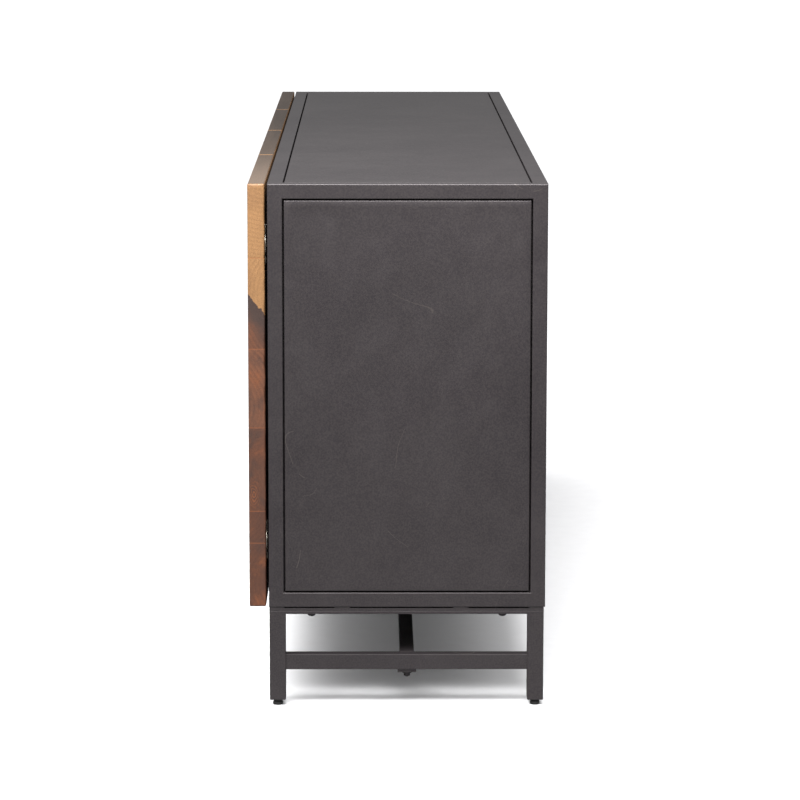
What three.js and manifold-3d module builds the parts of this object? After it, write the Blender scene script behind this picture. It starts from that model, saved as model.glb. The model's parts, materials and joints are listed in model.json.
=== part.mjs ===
// Sideboard: a welded tube case with four overlay wood doors, on a bolted tube base.
// Millimetres. X runs along the length, -Y is the front where the doors are, +Z is up.
// The origin is on the floor, under the middle of the whole object.
import * as THREE from "three";
import { mergeVertices } from "three/addons/utils/BufferGeometryUtils.js";
import Module from "manifold-3d";

const wasm = await Module();
wasm.setup();

// ---- Driving dimensions ----------------------------------------------------
const length = 2032;
const depth = 457;
const height = 813;

const fit = 0.3; // air left between two pieces that touch

const doorThickness = 26;
const doorStandoff = 4; // air behind a closed door, which the push latches work in
const doorGap = 2.5; // between two neighbouring doors
const doorFoot = 1; // a door's lower edge stays this far above the case's
const doorRound = 2.5;

const caseTube = 23; // square tube of the case
const tubeWall = 2;
const tubeRound = 1.5; // soft outer corner of a tube
const shadowGap = 2.5; // dark line between a tube and the panel set in it
const ventBore = 8; // breather hole of a welded ring

const lipWidth = 14; // flat strip inside a tube that a panel is screwed to
const lipThickness = 3;
const panSheet = 1.5; // sheet of a folded panel

const partitionThickness = 18;
const shelfThickness = 20;
const shelfSetback = 3.5; // from the back of the front tubes to the shelf's front edge
const shelfEndPlay = 1.5;
const shelfRise = 295; // from the inside floor to the underside of a shelf
const ledgeLeg = 20;
const ledgeSheet = 3;
const ledgeFrontCover = 14; // how far a ledge runs over the front tube

const legTube = 25;
const legInset = 1.3; // from the case's end face to the leg's
const legFrontInset = 0.6; // from the case's front to the front leg
const legRearInset = 1.9; // from the case's back to the rear leg
const legHeight = 136.7;
const topBarThickness = 5;
const mountBarThickness = 4;
const padHeight = 1.7; // weld pads that hold the mount bar off the case
const padWidth = 24;
const padFrontAt = -85; // front weld pad, from the object's middle
const padRearAt = 98; // rear weld pad

const stretcherLow = 57.5; // underside of the stretchers
const stretcherHeight = 24;
const endStretcherDepth = 20;
const longStretcherDepth = 22;
const stretcherWall = 2;
const tabThickness = 5; // end tab of the long stretcher, bolted under the end stretcher
const tabWidth = 29;
const tabOverlap = 17; // how far the tab reaches under the end stretcher
const tabRoot = 24; // how far it runs back under the long stretcher

const boltShank = 8;
const boltHole = 8.8;
const boltHead = 17;
const boltHeadHeight = 5;
const domeShape = [ // a bolt head's outline, as shares of its radius and of its height
  [0, 1],
  [0.52, 0.94],
  [0.84, 0.55],
  [1, 0.2],
  [1, 0],
];
const baseBoltFront = -133; // front base bolts, from the object's middle
const baseBoltRear = 163; // rear base bolts
const tabBoltHead = 15;
const tabBoltHeadHeight = 7.6;
const tabBoltReach = 16; // shank above the underside of the end stretcher

const footHeight = 9;
const footBase = 15.5;
const footNut = 12;
const footNutHeight = 2.2;
const footRound = 1.6; // soft lower edge of the glide
const footStem = 8;
const footStemReach = 24; // stem above the leg's lower end
const footHole = 9;
const legPlug = 6; // thickness of the closed lower end of a leg

const cupBore = 35.6;
const cupDiameter = 35;
const cupDepth = 11.5;
const cupBoreDepth = 12.5;
const cupSheet = 1;
const cupInset = 23.5; // from the door's hinge edge to the cup's centre
const flangeWidth = 17;
const flangeHeight = 60;
const flangeSheet = 1.2;
const hingeFromTop = 93;
const hingeFromBottom = 102;
const armWidth = 12;
const armHeight = 20;
const armNose = 1; // how far the arm stands in front of the tubes
const armReach = 50;
const plateSheet = 2.5;
const plateHeight = 48;
const plateMargin = 2;

const latchWidth = 32;
const latchHeight = 20;
const latchReach = 72;
const latchFrontGap = 1.5; // the latch stays this far behind the front of the tubes
const plungerRod = 8;
const plungerBore = 8.8;
const plungerTip = 11;
const plungerTipLength = 4.2;
const plungerLength = 62;
const plungerBoreSpare = 3;
const plungerOffset = 8; // from the seam between two doors to a plunger
const facets = 24;

// ---- Sizes that follow ------------------------------------------------------
const endX = length / 2;
const frontY = -depth / 2;
const backY = depth / 2;
const doorBackY = frontY + doorThickness;
const caseFrontY = doorBackY + doorStandoff;
const legTopZ = footHeight + legHeight;
const legFrameTopZ = legTopZ + topBarThickness;
const mountBarZ = legFrameTopZ + fit;
const mountBarTopZ = mountBarZ + mountBarThickness;
const caseBottomZ = mountBarTopZ + padHeight + fit;
const doorBottomZ = caseBottomZ + doorFoot;
const innerEndX = endX - caseTube; // inner faces of the end frames
const openFrontY = caseFrontY + caseTube;
const openBackY = backY - caseTube;
const openBottomZ = caseBottomZ + caseTube;
const openTopZ = height - caseTube;
const caseMiddleY = (caseFrontY + backY) / 2;
const centreBackY = openBackY - fit;
const seamXs = [-length / 4, length / 4];
const hingeZs = { upper: height - hingeFromTop, lower: doorBottomZ + hingeFromBottom };

const colours = { gunmetal: 0x4c484a, wood: 0x7a4f42, steel: 0xb4b4b6, black: 0x1c1b1c };
const finishes = {
  gunmetal: new THREE.MeshStandardMaterial({ color: colours.gunmetal, roughness: 0.45, metalness: 0.8 }),
  wood: new THREE.MeshStandardMaterial({ color: colours.wood, roughness: 0.5, metalness: 0 }),
  steel: new THREE.MeshStandardMaterial({ color: colours.steel, roughness: 0.3, metalness: 1 }),
  black: new THREE.MeshStandardMaterial({ color: colours.black, roughness: 0.6, metalness: 0 }),
};

// ---- Solids -----------------------------------------------------------------
/** A closed three.js geometry as a manifold solid. */
function solid(geometry) {
  const bare = geometry.clone();
  bare.deleteAttribute("normal");
  bare.deleteAttribute("uv");
  const merged = mergeVertices(bare, 1e-4);
  return new wasm.Manifold(new wasm.Mesh({
    numProp: 3,
    vertProperties: new Float32Array(merged.attributes.position.array),
    triVerts: new Uint32Array(merged.index.array),
  }));
}

/** A manifold solid back as a three.js geometry. */
function geometryOf(body) {
  const mesh = body.getMesh();
  const geometry = new THREE.BufferGeometry();
  geometry.setAttribute("position", new THREE.BufferAttribute(new Float32Array(mesh.vertProperties), 3));
  geometry.setIndex(new THREE.BufferAttribute(new Uint32Array(mesh.triVerts), 1));
  geometry.computeVertexNormals();
  return geometry;
}

/** A block between two corners, [x0, x1], [y0, y1], [z0, z1]. */
function block([x0, x1], [y0, y1], [z0, z1]) {
  const geometry = new THREE.BoxGeometry(x1 - x0, y1 - y0, z1 - z0);
  return solid(geometry.translate((x0 + x1) / 2, (y0 + y1) / 2, (z0 + z1) / 2));
}

/** A rectangle of width and height about the origin, as a shape. */
function rectangle(width, tall) {
  const shape = new THREE.Shape();
  shape.moveTo(-width / 2, -tall / 2);
  shape.lineTo(width / 2, -tall / 2);
  shape.lineTo(width / 2, tall / 2);
  shape.lineTo(-width / 2, tall / 2);
  shape.closePath();
  return shape;
}

/** A rectangular bar along z from 0 to its length, soft on all its edges. */
function softPlate(width, tall, thickness, round) {
  const shape = rectangle(width - 2 * round, tall - 2 * round);
  const geometry = new THREE.ExtrudeGeometry(shape, {
    depth: thickness - 2 * round,
    bevelEnabled: true,
    bevelSize: round,
    bevelThickness: round,
    bevelSegments: 2,
  });
  return geometry.translate(0, 0, round);
}

/** A plate in the X-Z plane between two heights and two lengths, soft on all its edges. */
function uprightPlate([x0, x1], [y0, y1], [z0, z1], round) {
  const geometry = softPlate(x1 - x0, z1 - z0, y1 - y0, round);
  geometry.rotateX(Math.PI / 2);
  return solid(geometry.translate((x0 + x1) / 2, y1, (z0 + z1) / 2));
}

/** A square tube's ring in the Y-Z plane, solid, soft on its outer faces. */
function ring([x0, x1], [y0, y1], [z0, z1], member) {
  const round = tubeRound;
  const shape = rectangle(y1 - y0 - 2 * round, z1 - z0 - 2 * round);
  const hole = rectangle(y1 - y0 - 2 * member + 2 * round, z1 - z0 - 2 * member + 2 * round);
  shape.holes.push(new THREE.Path(hole.getPoints().reverse()));
  const geometry = new THREE.ExtrudeGeometry(shape, {
    depth: x1 - x0 - 2 * round,
    bevelEnabled: true,
    bevelSize: round,
    bevelThickness: round,
    bevelSegments: 2,
  });
  geometry.translate(0, 0, round);
  geometry.rotateY(Math.PI / 2);
  geometry.rotateX(Math.PI / 2);
  return solid(geometry.translate(x0, (y0 + y1) / 2, (z0 + z1) / 2));
}

/** A plain ring in the Y-Z plane. */
function plainRing([x0, x1], [y0, y1], [z0, z1], member) {
  const hole = block([x0 - 1, x1 + 1], [y0 + member, y1 - member], [z0 + member, z1 - member]);
  return block([x0, x1], [y0, y1], [z0, z1]).subtract(hole);
}

/** A round solid about a vertical axis, from [radius, height] points that start and end on it. */
function turned(points, x, y, z) {
  const outline = points.map(([radius, rise]) => new THREE.Vector2(radius, rise));
  return solid(new THREE.LatheGeometry(outline, facets).rotateX(Math.PI / 2).translate(x, y, z));
}

/** A vertical pin or bore. */
function pin(diameter, x, y, [z0, z1]) {
  const geometry = new THREE.CylinderGeometry(diameter / 2, diameter / 2, z1 - z0, facets);
  return solid(geometry.rotateX(Math.PI / 2).translate(x, y, (z0 + z1) / 2));
}

/** A pin or bore along Y. */
function crossPin(diameter, x, [y0, y1], z) {
  const geometry = new THREE.CylinderGeometry(diameter / 2, diameter / 2, y1 - y0, facets);
  return solid(geometry.translate(x, (y0 + y1) / 2, z));
}

/** A span that lies on the outer side of x = 0, on the left or the right. */
function span(side, inner, outer) {
  return side > 0 ? [inner, outer] : [-outer, -inner];
}

const sideboard = new THREE.Group();

/** Adds one named piece. */
function add(name, body, finish) {
  const mesh = new THREE.Mesh(geometryOf(body), finishes[finish]);
  mesh.name = name;
  sideboard.add(mesh);
}

// ---- Case -------------------------------------------------------------------
/** A rectangular frame of hollow tube, with a breather hole in its front post's inner wall. */
function tubeRing(xs, ys, zs) {
  const outer = ring(xs, ys, zs, caseTube);
  const hollow = plainRing(
    [xs[0] + tubeWall, xs[1] - tubeWall],
    [ys[0] + tubeWall, ys[1] - tubeWall],
    [zs[0] + tubeWall, zs[1] - tubeWall],
    caseTube - 2 * tubeWall,
  );
  const middleZ = (zs[0] + zs[1]) / 2;
  const ventYs = [ys[0] + caseTube / 2, ys[0] + caseTube + 1];
  const vent = crossPin(ventBore, (xs[0] + xs[1]) / 2, ventYs, middleZ);
  return outer.subtract(hollow).subtract(vent);
}

function endFrame(side) {
  const frame = tubeRing(span(side, innerEndX, endX), [caseFrontY, backY], [caseBottomZ, height]);
  const lip = plainRing(
    span(side, innerEndX, innerEndX + lipThickness),
    [openFrontY - 1, openBackY + 1],
    [openBottomZ - 1, openTopZ + 1],
    lipWidth + 1,
  );
  return frame.add(lip);
}

/** A rail along X between the end frames, open at both ends, with its panel lips. */
function rail(ys, zs, lips) {
  const xs = [-innerEndX + fit, innerEndX - fit];
  const geometry = softPlate(ys[1] - ys[0], zs[1] - zs[0], xs[1] - xs[0], tubeRound);
  geometry.rotateX(Math.PI / 2);
  geometry.rotateZ(Math.PI / 2);
  const middle = [(ys[0] + ys[1]) / 2, (zs[0] + zs[1]) / 2];
  const outer = solid(geometry.translate(xs[0], middle[0], middle[1]));
  const hollow = block(
    [xs[0] - 1, xs[1] + 1],
    [ys[0] + tubeWall, ys[1] - tubeWall],
    [zs[0] + tubeWall, zs[1] - tubeWall],
  );
  const joined = lips.reduce((body, lip) => body.add(block(xs, lip.ys, lip.zs)), outer);
  return joined.subtract(hollow);
}

/** A folded sheet panel: a flat face with its four edges turned in, open on the inside. */
function pan(outer, open) {
  const hollow = outer.map(([low, high], axis) => {
    const start = axis === open.axis && open.side < 0 ? low - 1 : low + panSheet;
    const end = axis === open.axis && open.side > 0 ? high + 1 : high - panSheet;
    return [start, end];
  });
  return block(...outer).subtract(block(...hollow));
}

const root = tubeWall / 2; // a lip is rooted this far inside its tube's wall
const frontYs = [caseFrontY, openFrontY];
const rearYs = [openBackY, backY];
const lowZs = [caseBottomZ, openBottomZ];
const highZs = [openTopZ, height];
const frontLipYs = [openFrontY - root, openFrontY + lipWidth];
const rearLipYs = [openBackY - lipWidth, openBackY + root];
const topLipZs = [openTopZ, openTopZ + lipThickness];
const bottomLipZs = [caseBottomZ, caseBottomZ + lipThickness];
const backLipYs = [openBackY, openBackY + lipThickness];

add("end_frame_left", endFrame(-1), "gunmetal");
add("end_frame_right", endFrame(1), "gunmetal");
add("front_top_rail", rail(frontYs, highZs, [{ ys: frontLipYs, zs: topLipZs }]), "gunmetal");
add("front_bottom_rail", rail(frontYs, lowZs, [{ ys: frontLipYs, zs: bottomLipZs }]), "gunmetal");
add("rear_top_rail", rail(rearYs, highZs, [
  { ys: rearLipYs, zs: topLipZs },
  { ys: backLipYs, zs: [openTopZ - lipWidth, openTopZ + root] },
]), "gunmetal");
add("rear_bottom_rail", rail(rearYs, lowZs, [
  { ys: rearLipYs, zs: bottomLipZs },
  { ys: backLipYs, zs: [openBottomZ - root, openBottomZ + lipWidth] },
]), "gunmetal");

const centreZs = [openBottomZ + fit, openTopZ - fit];
const centreXs = [-caseTube / 2, caseTube / 2];
add("centre_frame", tubeRing(centreXs, [caseFrontY, centreBackY], centreZs), "gunmetal");
add("partition_panel", block(
  [-partitionThickness / 2, partitionThickness / 2],
  [openFrontY + fit, centreBackY - caseTube - fit],
  [centreZs[0] + caseTube + fit, centreZs[1] - caseTube - fit],
), "wood");

const panelYs = [openFrontY + shadowGap, openBackY - shadowGap];
const panelXs = [-innerEndX + shadowGap, innerEndX - shadowGap];
const panelZs = [openBottomZ + shadowGap, openTopZ - shadowGap];
for (const [name, side] of [["left", -1], ["right", 1]]) {
  const xs = span(side, innerEndX + lipThickness + fit, endX);
  add(`end_panel_${name}`, pan([xs, panelYs, panelZs], { axis: 0, side: -side }), "gunmetal");
}
const topPanelZs = [topLipZs[1] + fit, height];
add("top_panel", pan([panelXs, panelYs, topPanelZs], { axis: 2, side: -1 }), "gunmetal");
const floorZs = [bottomLipZs[1] + fit, openBottomZ];
add("bottom_panel", pan([panelXs, panelYs, floorZs], { axis: 2, side: -1 }), "gunmetal");
const backPanelYs = [backLipYs[1] + fit, backY];
add("back_panel", pan([panelXs, backPanelYs, panelZs], { axis: 1, side: -1 }), "gunmetal");

// ---- Shelves ----------------------------------------------------------------
const shelfZ = openBottomZ + shelfRise;
const shelfYs = [openFrontY + shelfSetback, openBackY - shelfSetback];
const ledgeYs = [openFrontY - ledgeFrontCover, backLipYs[1]];

/** An angle strip that stands against a face at x and carries a shelf's end. */
function ledge(face, side) {
  const flange = [shelfZ - fit - ledgeSheet, shelfZ - fit];
  const upright = span(side, face, face + ledgeSheet);
  const shelfSide = span(side, face, face + ledgeLeg);
  const leg = block(upright, ledgeYs, [flange[1] - ledgeLeg, flange[1]]);
  return leg.add(block(shelfSide, ledgeYs, flange));
}

for (const [name, side] of [["left", -1], ["right", 1]]) {
  const inner = caseTube / 2;
  const xs = span(side, inner + shelfEndPlay, innerEndX - shelfEndPlay);
  add(`shelf_${name}`, block(xs, shelfYs, [shelfZ, shelfZ + shelfThickness]), "wood");
  add(`shelf_ledge_${name}_inner`, ledge(inner + fit, side), "steel");
  add(`shelf_ledge_${name}_outer`, ledge(-(innerEndX - fit), -side), "steel");
}

// ---- Base -------------------------------------------------------------------
const legXs = [endX - legInset - legTube, endX - legInset];
const legMiddleX = (legXs[0] + legXs[1]) / 2;
const frontLegYs = [caseFrontY + legFrontInset, caseFrontY + legFrontInset + legTube];
const rearLegYs = [backY - legRearInset - legTube, backY - legRearInset];
const baseYs = [frontLegYs[0], rearLegYs[1]];
const stretcherZs = [stretcherLow, stretcherLow + stretcherHeight];
const boltYs = { front: baseBoltFront, rear: baseBoltRear };
const legYs = { front: frontLegYs, rear: rearLegYs };
const middleOf = ([low, high]) => (low + high) / 2;
const shrink = ([low, high], by) => [low + by, high - by];

/** An upright square leg with a closed, bored lower end. */
function leg(xs, ys) {
  const geometry = softPlate(legTube, legTube, legHeight + 2 * tubeRound, tubeRound);
  return solid(geometry.translate(middleOf(xs), middleOf(ys), footHeight))
    .subtract(block(shrink(xs, -1), shrink(ys, -1), [legTopZ, legTopZ + 4 * tubeRound]));
}

/** Two legs, the flat bar over them and the stretcher between them, welded into one at one end. */
function legFrame(side) {
  const xs = [-legTube / 2, legTube / 2];
  const stretcherXs = [-endStretcherDepth / 2, endStretcherDepth / 2];
  const innerYs = [frontLegYs[1] - tubeWall / 2, rearLegYs[0] + tubeWall / 2];
  let frame = block(xs, baseYs, [legTopZ, legFrameTopZ]);
  frame = frame.add(block(stretcherXs, innerYs, stretcherZs));
  for (const ys of Object.values(legYs)) {
    frame = frame.add(leg(xs, ys));
  }
  for (const ys of Object.values(legYs)) {
    const hollowZs = [footHeight + legPlug, legTopZ];
    frame = frame.subtract(block(shrink(xs, tubeWall), shrink(ys, tubeWall), hollowZs));
    frame = frame.subtract(pin(footHole, 0, middleOf(ys), [footHeight - 1, footHeight + legPlug + 1]));
  }
  const hollowYs = [frontLegYs[1] + 1, rearLegYs[0] - 1];
  frame = frame.subtract(block(
    shrink(stretcherXs, stretcherWall), hollowYs, shrink(stretcherZs, stretcherWall),
  ));
  for (const y of Object.values(boltYs)) {
    frame = frame.subtract(pin(boltHole, 0, y, [legTopZ - 1, legFrameTopZ + 1]));
  }
  const tabHole = [stretcherLow - 1, stretcherLow + stretcherWall + 1];
  frame = frame.subtract(pin(boltHole, 0, caseMiddleY, tabHole));
  return frame.translate([side * legMiddleX, 0, 0]);
}

/** The flat bar under the case's end, with the weld pads that hold it off the case. */
function mountBar(side) {
  const xs = span(side, ...legXs);
  const padZs = [mountBarTopZ - 1, mountBarTopZ + padHeight];
  const pads = [
    [baseYs[0], frontLegYs[1] - tubeWall],
    [padFrontAt - padWidth / 2, padFrontAt + padWidth / 2],
    [padRearAt - padWidth / 2, padRearAt + padWidth / 2],
    [rearLegYs[0] + tubeWall, baseYs[1]],
  ];
  let bar = block(xs, baseYs, [mountBarZ, mountBarTopZ]);
  for (const ys of pads) {
    bar = bar.add(block(xs, ys, padZs));
  }
  for (const y of Object.values(boltYs)) {
    const holeZs = [mountBarZ - 1, mountBarTopZ + padHeight + 1];
    bar = bar.subtract(pin(boltHole, side * legMiddleX, y, holeZs));
  }
  return bar;
}

/** The rectangular tube along the middle of the base, with a bolted tab at each end. */
function longStretcher() {
  const reach = legMiddleX - endStretcherDepth / 2 - fit;
  const ys = [caseMiddleY - longStretcherDepth / 2, caseMiddleY + longStretcherDepth / 2];
  const tabZs = [stretcherLow - fit - tabThickness, stretcherLow - fit];
  const tabYs = [caseMiddleY - tabWidth / 2, caseMiddleY + tabWidth / 2];
  let bar = block([-reach, reach], ys, stretcherZs);
  for (const side of [-1, 1]) {
    const xs = span(side, reach - tabRoot, reach + fit + tabOverlap);
    const rootXs = span(side, reach - tabRoot, reach);
    bar = bar.add(block(xs, tabYs, tabZs));
    bar = bar.add(block(rootXs, ys, [tabZs[1] - 1, stretcherLow + 1]));
  }
  const hollowXs = [-reach - 1, reach + 1];
  bar = bar.subtract(block(hollowXs, shrink(ys, stretcherWall), shrink(stretcherZs, stretcherWall)));
  for (const side of [-1, 1]) {
    bar = bar.subtract(pin(boltHole, side * legMiddleX, caseMiddleY, [tabZs[0] - 1, tabZs[1] + 1]));
  }
  return bar;
}

/** A domed bolt whose head hangs below z, with its shank running up to a given height. */
function bolt(head, headHeight, x, y, z, shankTop) {
  const dome = domeShape.map(([out, down]) => [out * head / 2, -down * headHeight]);
  return turned([
    ...dome,
    [boltShank / 2, 0],
    [boltShank / 2, shankTop - z],
    [0, shankTop - z],
  ], x, y, z);
}

/** A levelling foot, from the floor at z = 0 up into its leg. */
function foot(x, y) {
  const top = footHeight - fit;
  const nut = top - footNutHeight;
  return turned([
    [0, 0],
    [footBase / 2 - footRound, 0],
    [footBase / 2 - footRound / 4, footRound / 3],
    [footBase / 2, footRound],
    [footBase / 2, nut - footRound / 3],
    [footNut / 2, nut],
    [footNut / 2, top],
    [footStem / 2, top],
    [footStem / 2, footHeight + footStemReach],
    [0, footHeight + footStemReach],
  ], x, y, 0);
}

add("long_stretcher", longStretcher(), "gunmetal");
for (const [name, side] of [["left", -1], ["right", 1]]) {
  const x = side * legMiddleX;
  add(`leg_frame_${name}`, legFrame(side), "gunmetal");
  add(`mount_bar_${name}`, mountBar(side), "gunmetal");
  const tabBolt = bolt(
    tabBoltHead, tabBoltHeadHeight, x, caseMiddleY,
    stretcherLow - 2 * fit - tabThickness, stretcherLow + tabBoltReach,
  );
  add(`stretcher_bolt_${name}`, tabBolt, "black");
  for (const place of ["front", "rear"]) {
    const headZ = legTopZ - fit;
    const shankTop = mountBarTopZ + padHeight / 2;
    const baseBolt = bolt(boltHead, boltHeadHeight, x, boltYs[place], headZ, shankTop);
    add(`base_bolt_${name}_${place}`, baseBolt, "black");
    add(`foot_${name}_${place}`, foot(x, middleOf(legYs[place])), "black");
  }
}

// ---- Doors and their hinges ---------------------------------------------------
// Doors are numbered from the left. hinge is the side of the door that its hinges are on,
// and post is the face of the upright tube that carries them.
const centreFace = caseTube / 2;
const doors = [
  { number: 1, xs: [-endX, seamXs[0] - doorGap / 2], hinge: -1, post: -innerEndX },
  { number: 2, xs: [seamXs[0] + doorGap / 2, -doorGap / 2], hinge: 1, post: -centreFace },
  { number: 3, xs: [doorGap / 2, seamXs[1] - doorGap / 2], hinge: -1, post: centreFace },
  { number: 4, xs: [seamXs[1] + doorGap / 2, endX], hinge: 1, post: innerEndX },
];

/** A hinge cup let into the door's back, with the flange that it is screwed by. */
function hingeCup(x, z) {
  const flangeYs = [doorBackY + fit, doorBackY + fit + flangeSheet];
  const flange = block(
    [x - flangeWidth / 2, x + flangeWidth / 2], flangeYs, [z - flangeHeight / 2, z + flangeHeight / 2],
  );
  const rim = crossPin(cupDiameter + 4 * cupSheet, x, flangeYs, z);
  const shell = crossPin(cupDiameter, x, [doorBackY - cupDepth, flangeYs[1]], z);
  const bowlYs = [doorBackY - cupDepth + cupSheet, flangeYs[1] + 1];
  const bowl = crossPin(cupDiameter - 2 * cupSheet, x, bowlYs, z);
  return flange.add(rim).add(shell).subtract(bowl);
}

/** A hinge arm on its plate, which stands against an upright tube's inner face. */
function hingeArm(post, hinge, z) {
  const away = (near, far) => (hinge > 0 ? [post - far, post - near] : [post + near, post + far]);
  const plateYs = [caseFrontY + plateMargin, openFrontY - plateMargin];
  const plate = block(away(fit, fit + plateSheet), plateYs, [z - plateHeight / 2, z + plateHeight / 2]);
  const armYs = [caseFrontY - armNose, caseFrontY - armNose + armReach];
  const armXs = away(fit + plateSheet / 2, fit + plateSheet + armWidth);
  const arm = block(armXs, armYs, [z - armHeight / 2, z + armHeight / 2]);
  return plate.add(arm);
}

for (const door of doors) {
  const cupX = door.hinge > 0 ? door.xs[1] - cupInset : door.xs[0] + cupInset;
  let slab = uprightPlate(door.xs, [frontY, doorBackY], [doorBottomZ, height], doorRound);
  for (const z of Object.values(hingeZs)) {
    slab = slab.subtract(crossPin(cupBore, cupX, [doorBackY - cupBoreDepth, doorBackY + 1], z));
  }
  add(`door_${door.number}`, slab, "wood");
  for (const [level, z] of Object.entries(hingeZs)) {
    add(`hinge_cup_${door.number}_${level}`, hingeCup(cupX, z), "steel");
    add(`hinge_arm_${door.number}_${level}`, hingeArm(door.post, door.hinge, z), "steel");
  }
}

// ---- Push latches ---------------------------------------------------------------
const latchZ = openTopZ - fit - latchHeight / 2;
const latchFrontY = caseFrontY + latchFrontGap;
const plungerTipY = doorBackY + fit;

/** A plunger that touches a closed door and pushes it off by its stroke. */
function plunger(x) {
  const tip = crossPin(plungerTip, x, [plungerTipY, plungerTipY + plungerTipLength], latchZ);
  return tip.add(crossPin(plungerRod, x, [plungerTipY + 1, plungerTipY + plungerLength], latchZ));
}

for (const [name, seam, pair] of [["left", seamXs[0], [1, 2]], ["right", seamXs[1], [3, 4]]]) {
  const boreYs = [latchFrontY - 1, plungerTipY + plungerLength + plungerBoreSpare];
  let body = block(
    [seam - latchWidth / 2, seam + latchWidth / 2],
    [latchFrontY, latchFrontY + latchReach],
    [latchZ - latchHeight / 2, latchZ + latchHeight / 2],
  );
  for (const [index, number] of pair.entries()) {
    const x = seam + (index === 0 ? -plungerOffset : plungerOffset);
    body = body.subtract(crossPin(plungerBore, x, boreYs, latchZ));
    add(`plunger_${number}`, plunger(x), "black");
  }
  add(`latch_${name}`, body, "black");
}

export default sideboard;
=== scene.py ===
"""Sideboard with overlay wood doors on a gunmetal tube case: finishes, fine pieces and studio."""

from __future__ import annotations

import json
import logging
import math
from dataclasses import dataclass
from enum import Enum
from typing import Callable, Sequence

import bmesh
import bpy
from mathutils import Matrix, Vector, noise

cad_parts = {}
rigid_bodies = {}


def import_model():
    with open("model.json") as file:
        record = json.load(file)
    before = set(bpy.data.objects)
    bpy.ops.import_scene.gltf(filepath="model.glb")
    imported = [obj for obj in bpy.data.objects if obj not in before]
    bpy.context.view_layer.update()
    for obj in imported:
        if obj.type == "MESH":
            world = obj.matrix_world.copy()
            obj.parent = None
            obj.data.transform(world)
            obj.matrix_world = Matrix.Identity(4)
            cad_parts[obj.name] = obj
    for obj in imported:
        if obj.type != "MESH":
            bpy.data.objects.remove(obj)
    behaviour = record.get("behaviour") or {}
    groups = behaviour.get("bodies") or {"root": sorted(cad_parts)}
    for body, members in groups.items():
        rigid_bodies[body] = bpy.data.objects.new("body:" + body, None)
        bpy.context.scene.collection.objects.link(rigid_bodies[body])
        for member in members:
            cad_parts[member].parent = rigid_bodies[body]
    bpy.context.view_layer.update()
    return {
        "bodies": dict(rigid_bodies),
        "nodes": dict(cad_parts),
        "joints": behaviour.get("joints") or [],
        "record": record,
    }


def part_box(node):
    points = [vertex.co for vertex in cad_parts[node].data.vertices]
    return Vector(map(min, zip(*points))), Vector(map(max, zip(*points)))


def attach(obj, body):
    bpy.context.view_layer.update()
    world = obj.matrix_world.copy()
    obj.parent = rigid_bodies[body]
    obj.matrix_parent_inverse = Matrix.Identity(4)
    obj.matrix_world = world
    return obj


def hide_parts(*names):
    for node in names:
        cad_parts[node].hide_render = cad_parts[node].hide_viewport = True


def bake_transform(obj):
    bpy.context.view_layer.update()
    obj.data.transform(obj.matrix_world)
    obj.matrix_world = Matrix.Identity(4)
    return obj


LOG = logging.getLogger("sideboard")
MM = 0.001
ENDS = ("left", "right")
LEVELS = ("upper", "lower")
DOOR_NUMBERS = (1, 2, 3, 4)

Point = tuple[float, float, float]
Colour = tuple[float, float, float]
Figure = tuple[Point, float, float, float]


class Slot(Enum):
    """The record's material slots."""

    GUNMETAL = "gunmetal"
    DOOR_WOOD = "door_wood"
    INSIDE_WOOD = "inside_wood"
    HARDWARE = "hardware_steel"
    BOLTS = "black_bolts"
    PLASTIC = "black_plastic"


class Axis(Enum):
    """A direction that a turned piece stands along, by how far its parts shift round from Z."""

    Z = 0
    X = 1
    Y = 2


def srgb(red: int, green: int, blue: int) -> Colour:
    """A display colour, 0 to 255, as scene-linear light."""
    def linear(value: int) -> float:
        """One channel."""
        share = value / 255
        return share / 12.92 if share <= 0.04045 else ((share + 0.055) / 1.055) ** 2.4
    return linear(red), linear(green), linear(blue)


# ---- Shader graphs ---------------------------------------------------------------


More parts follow.
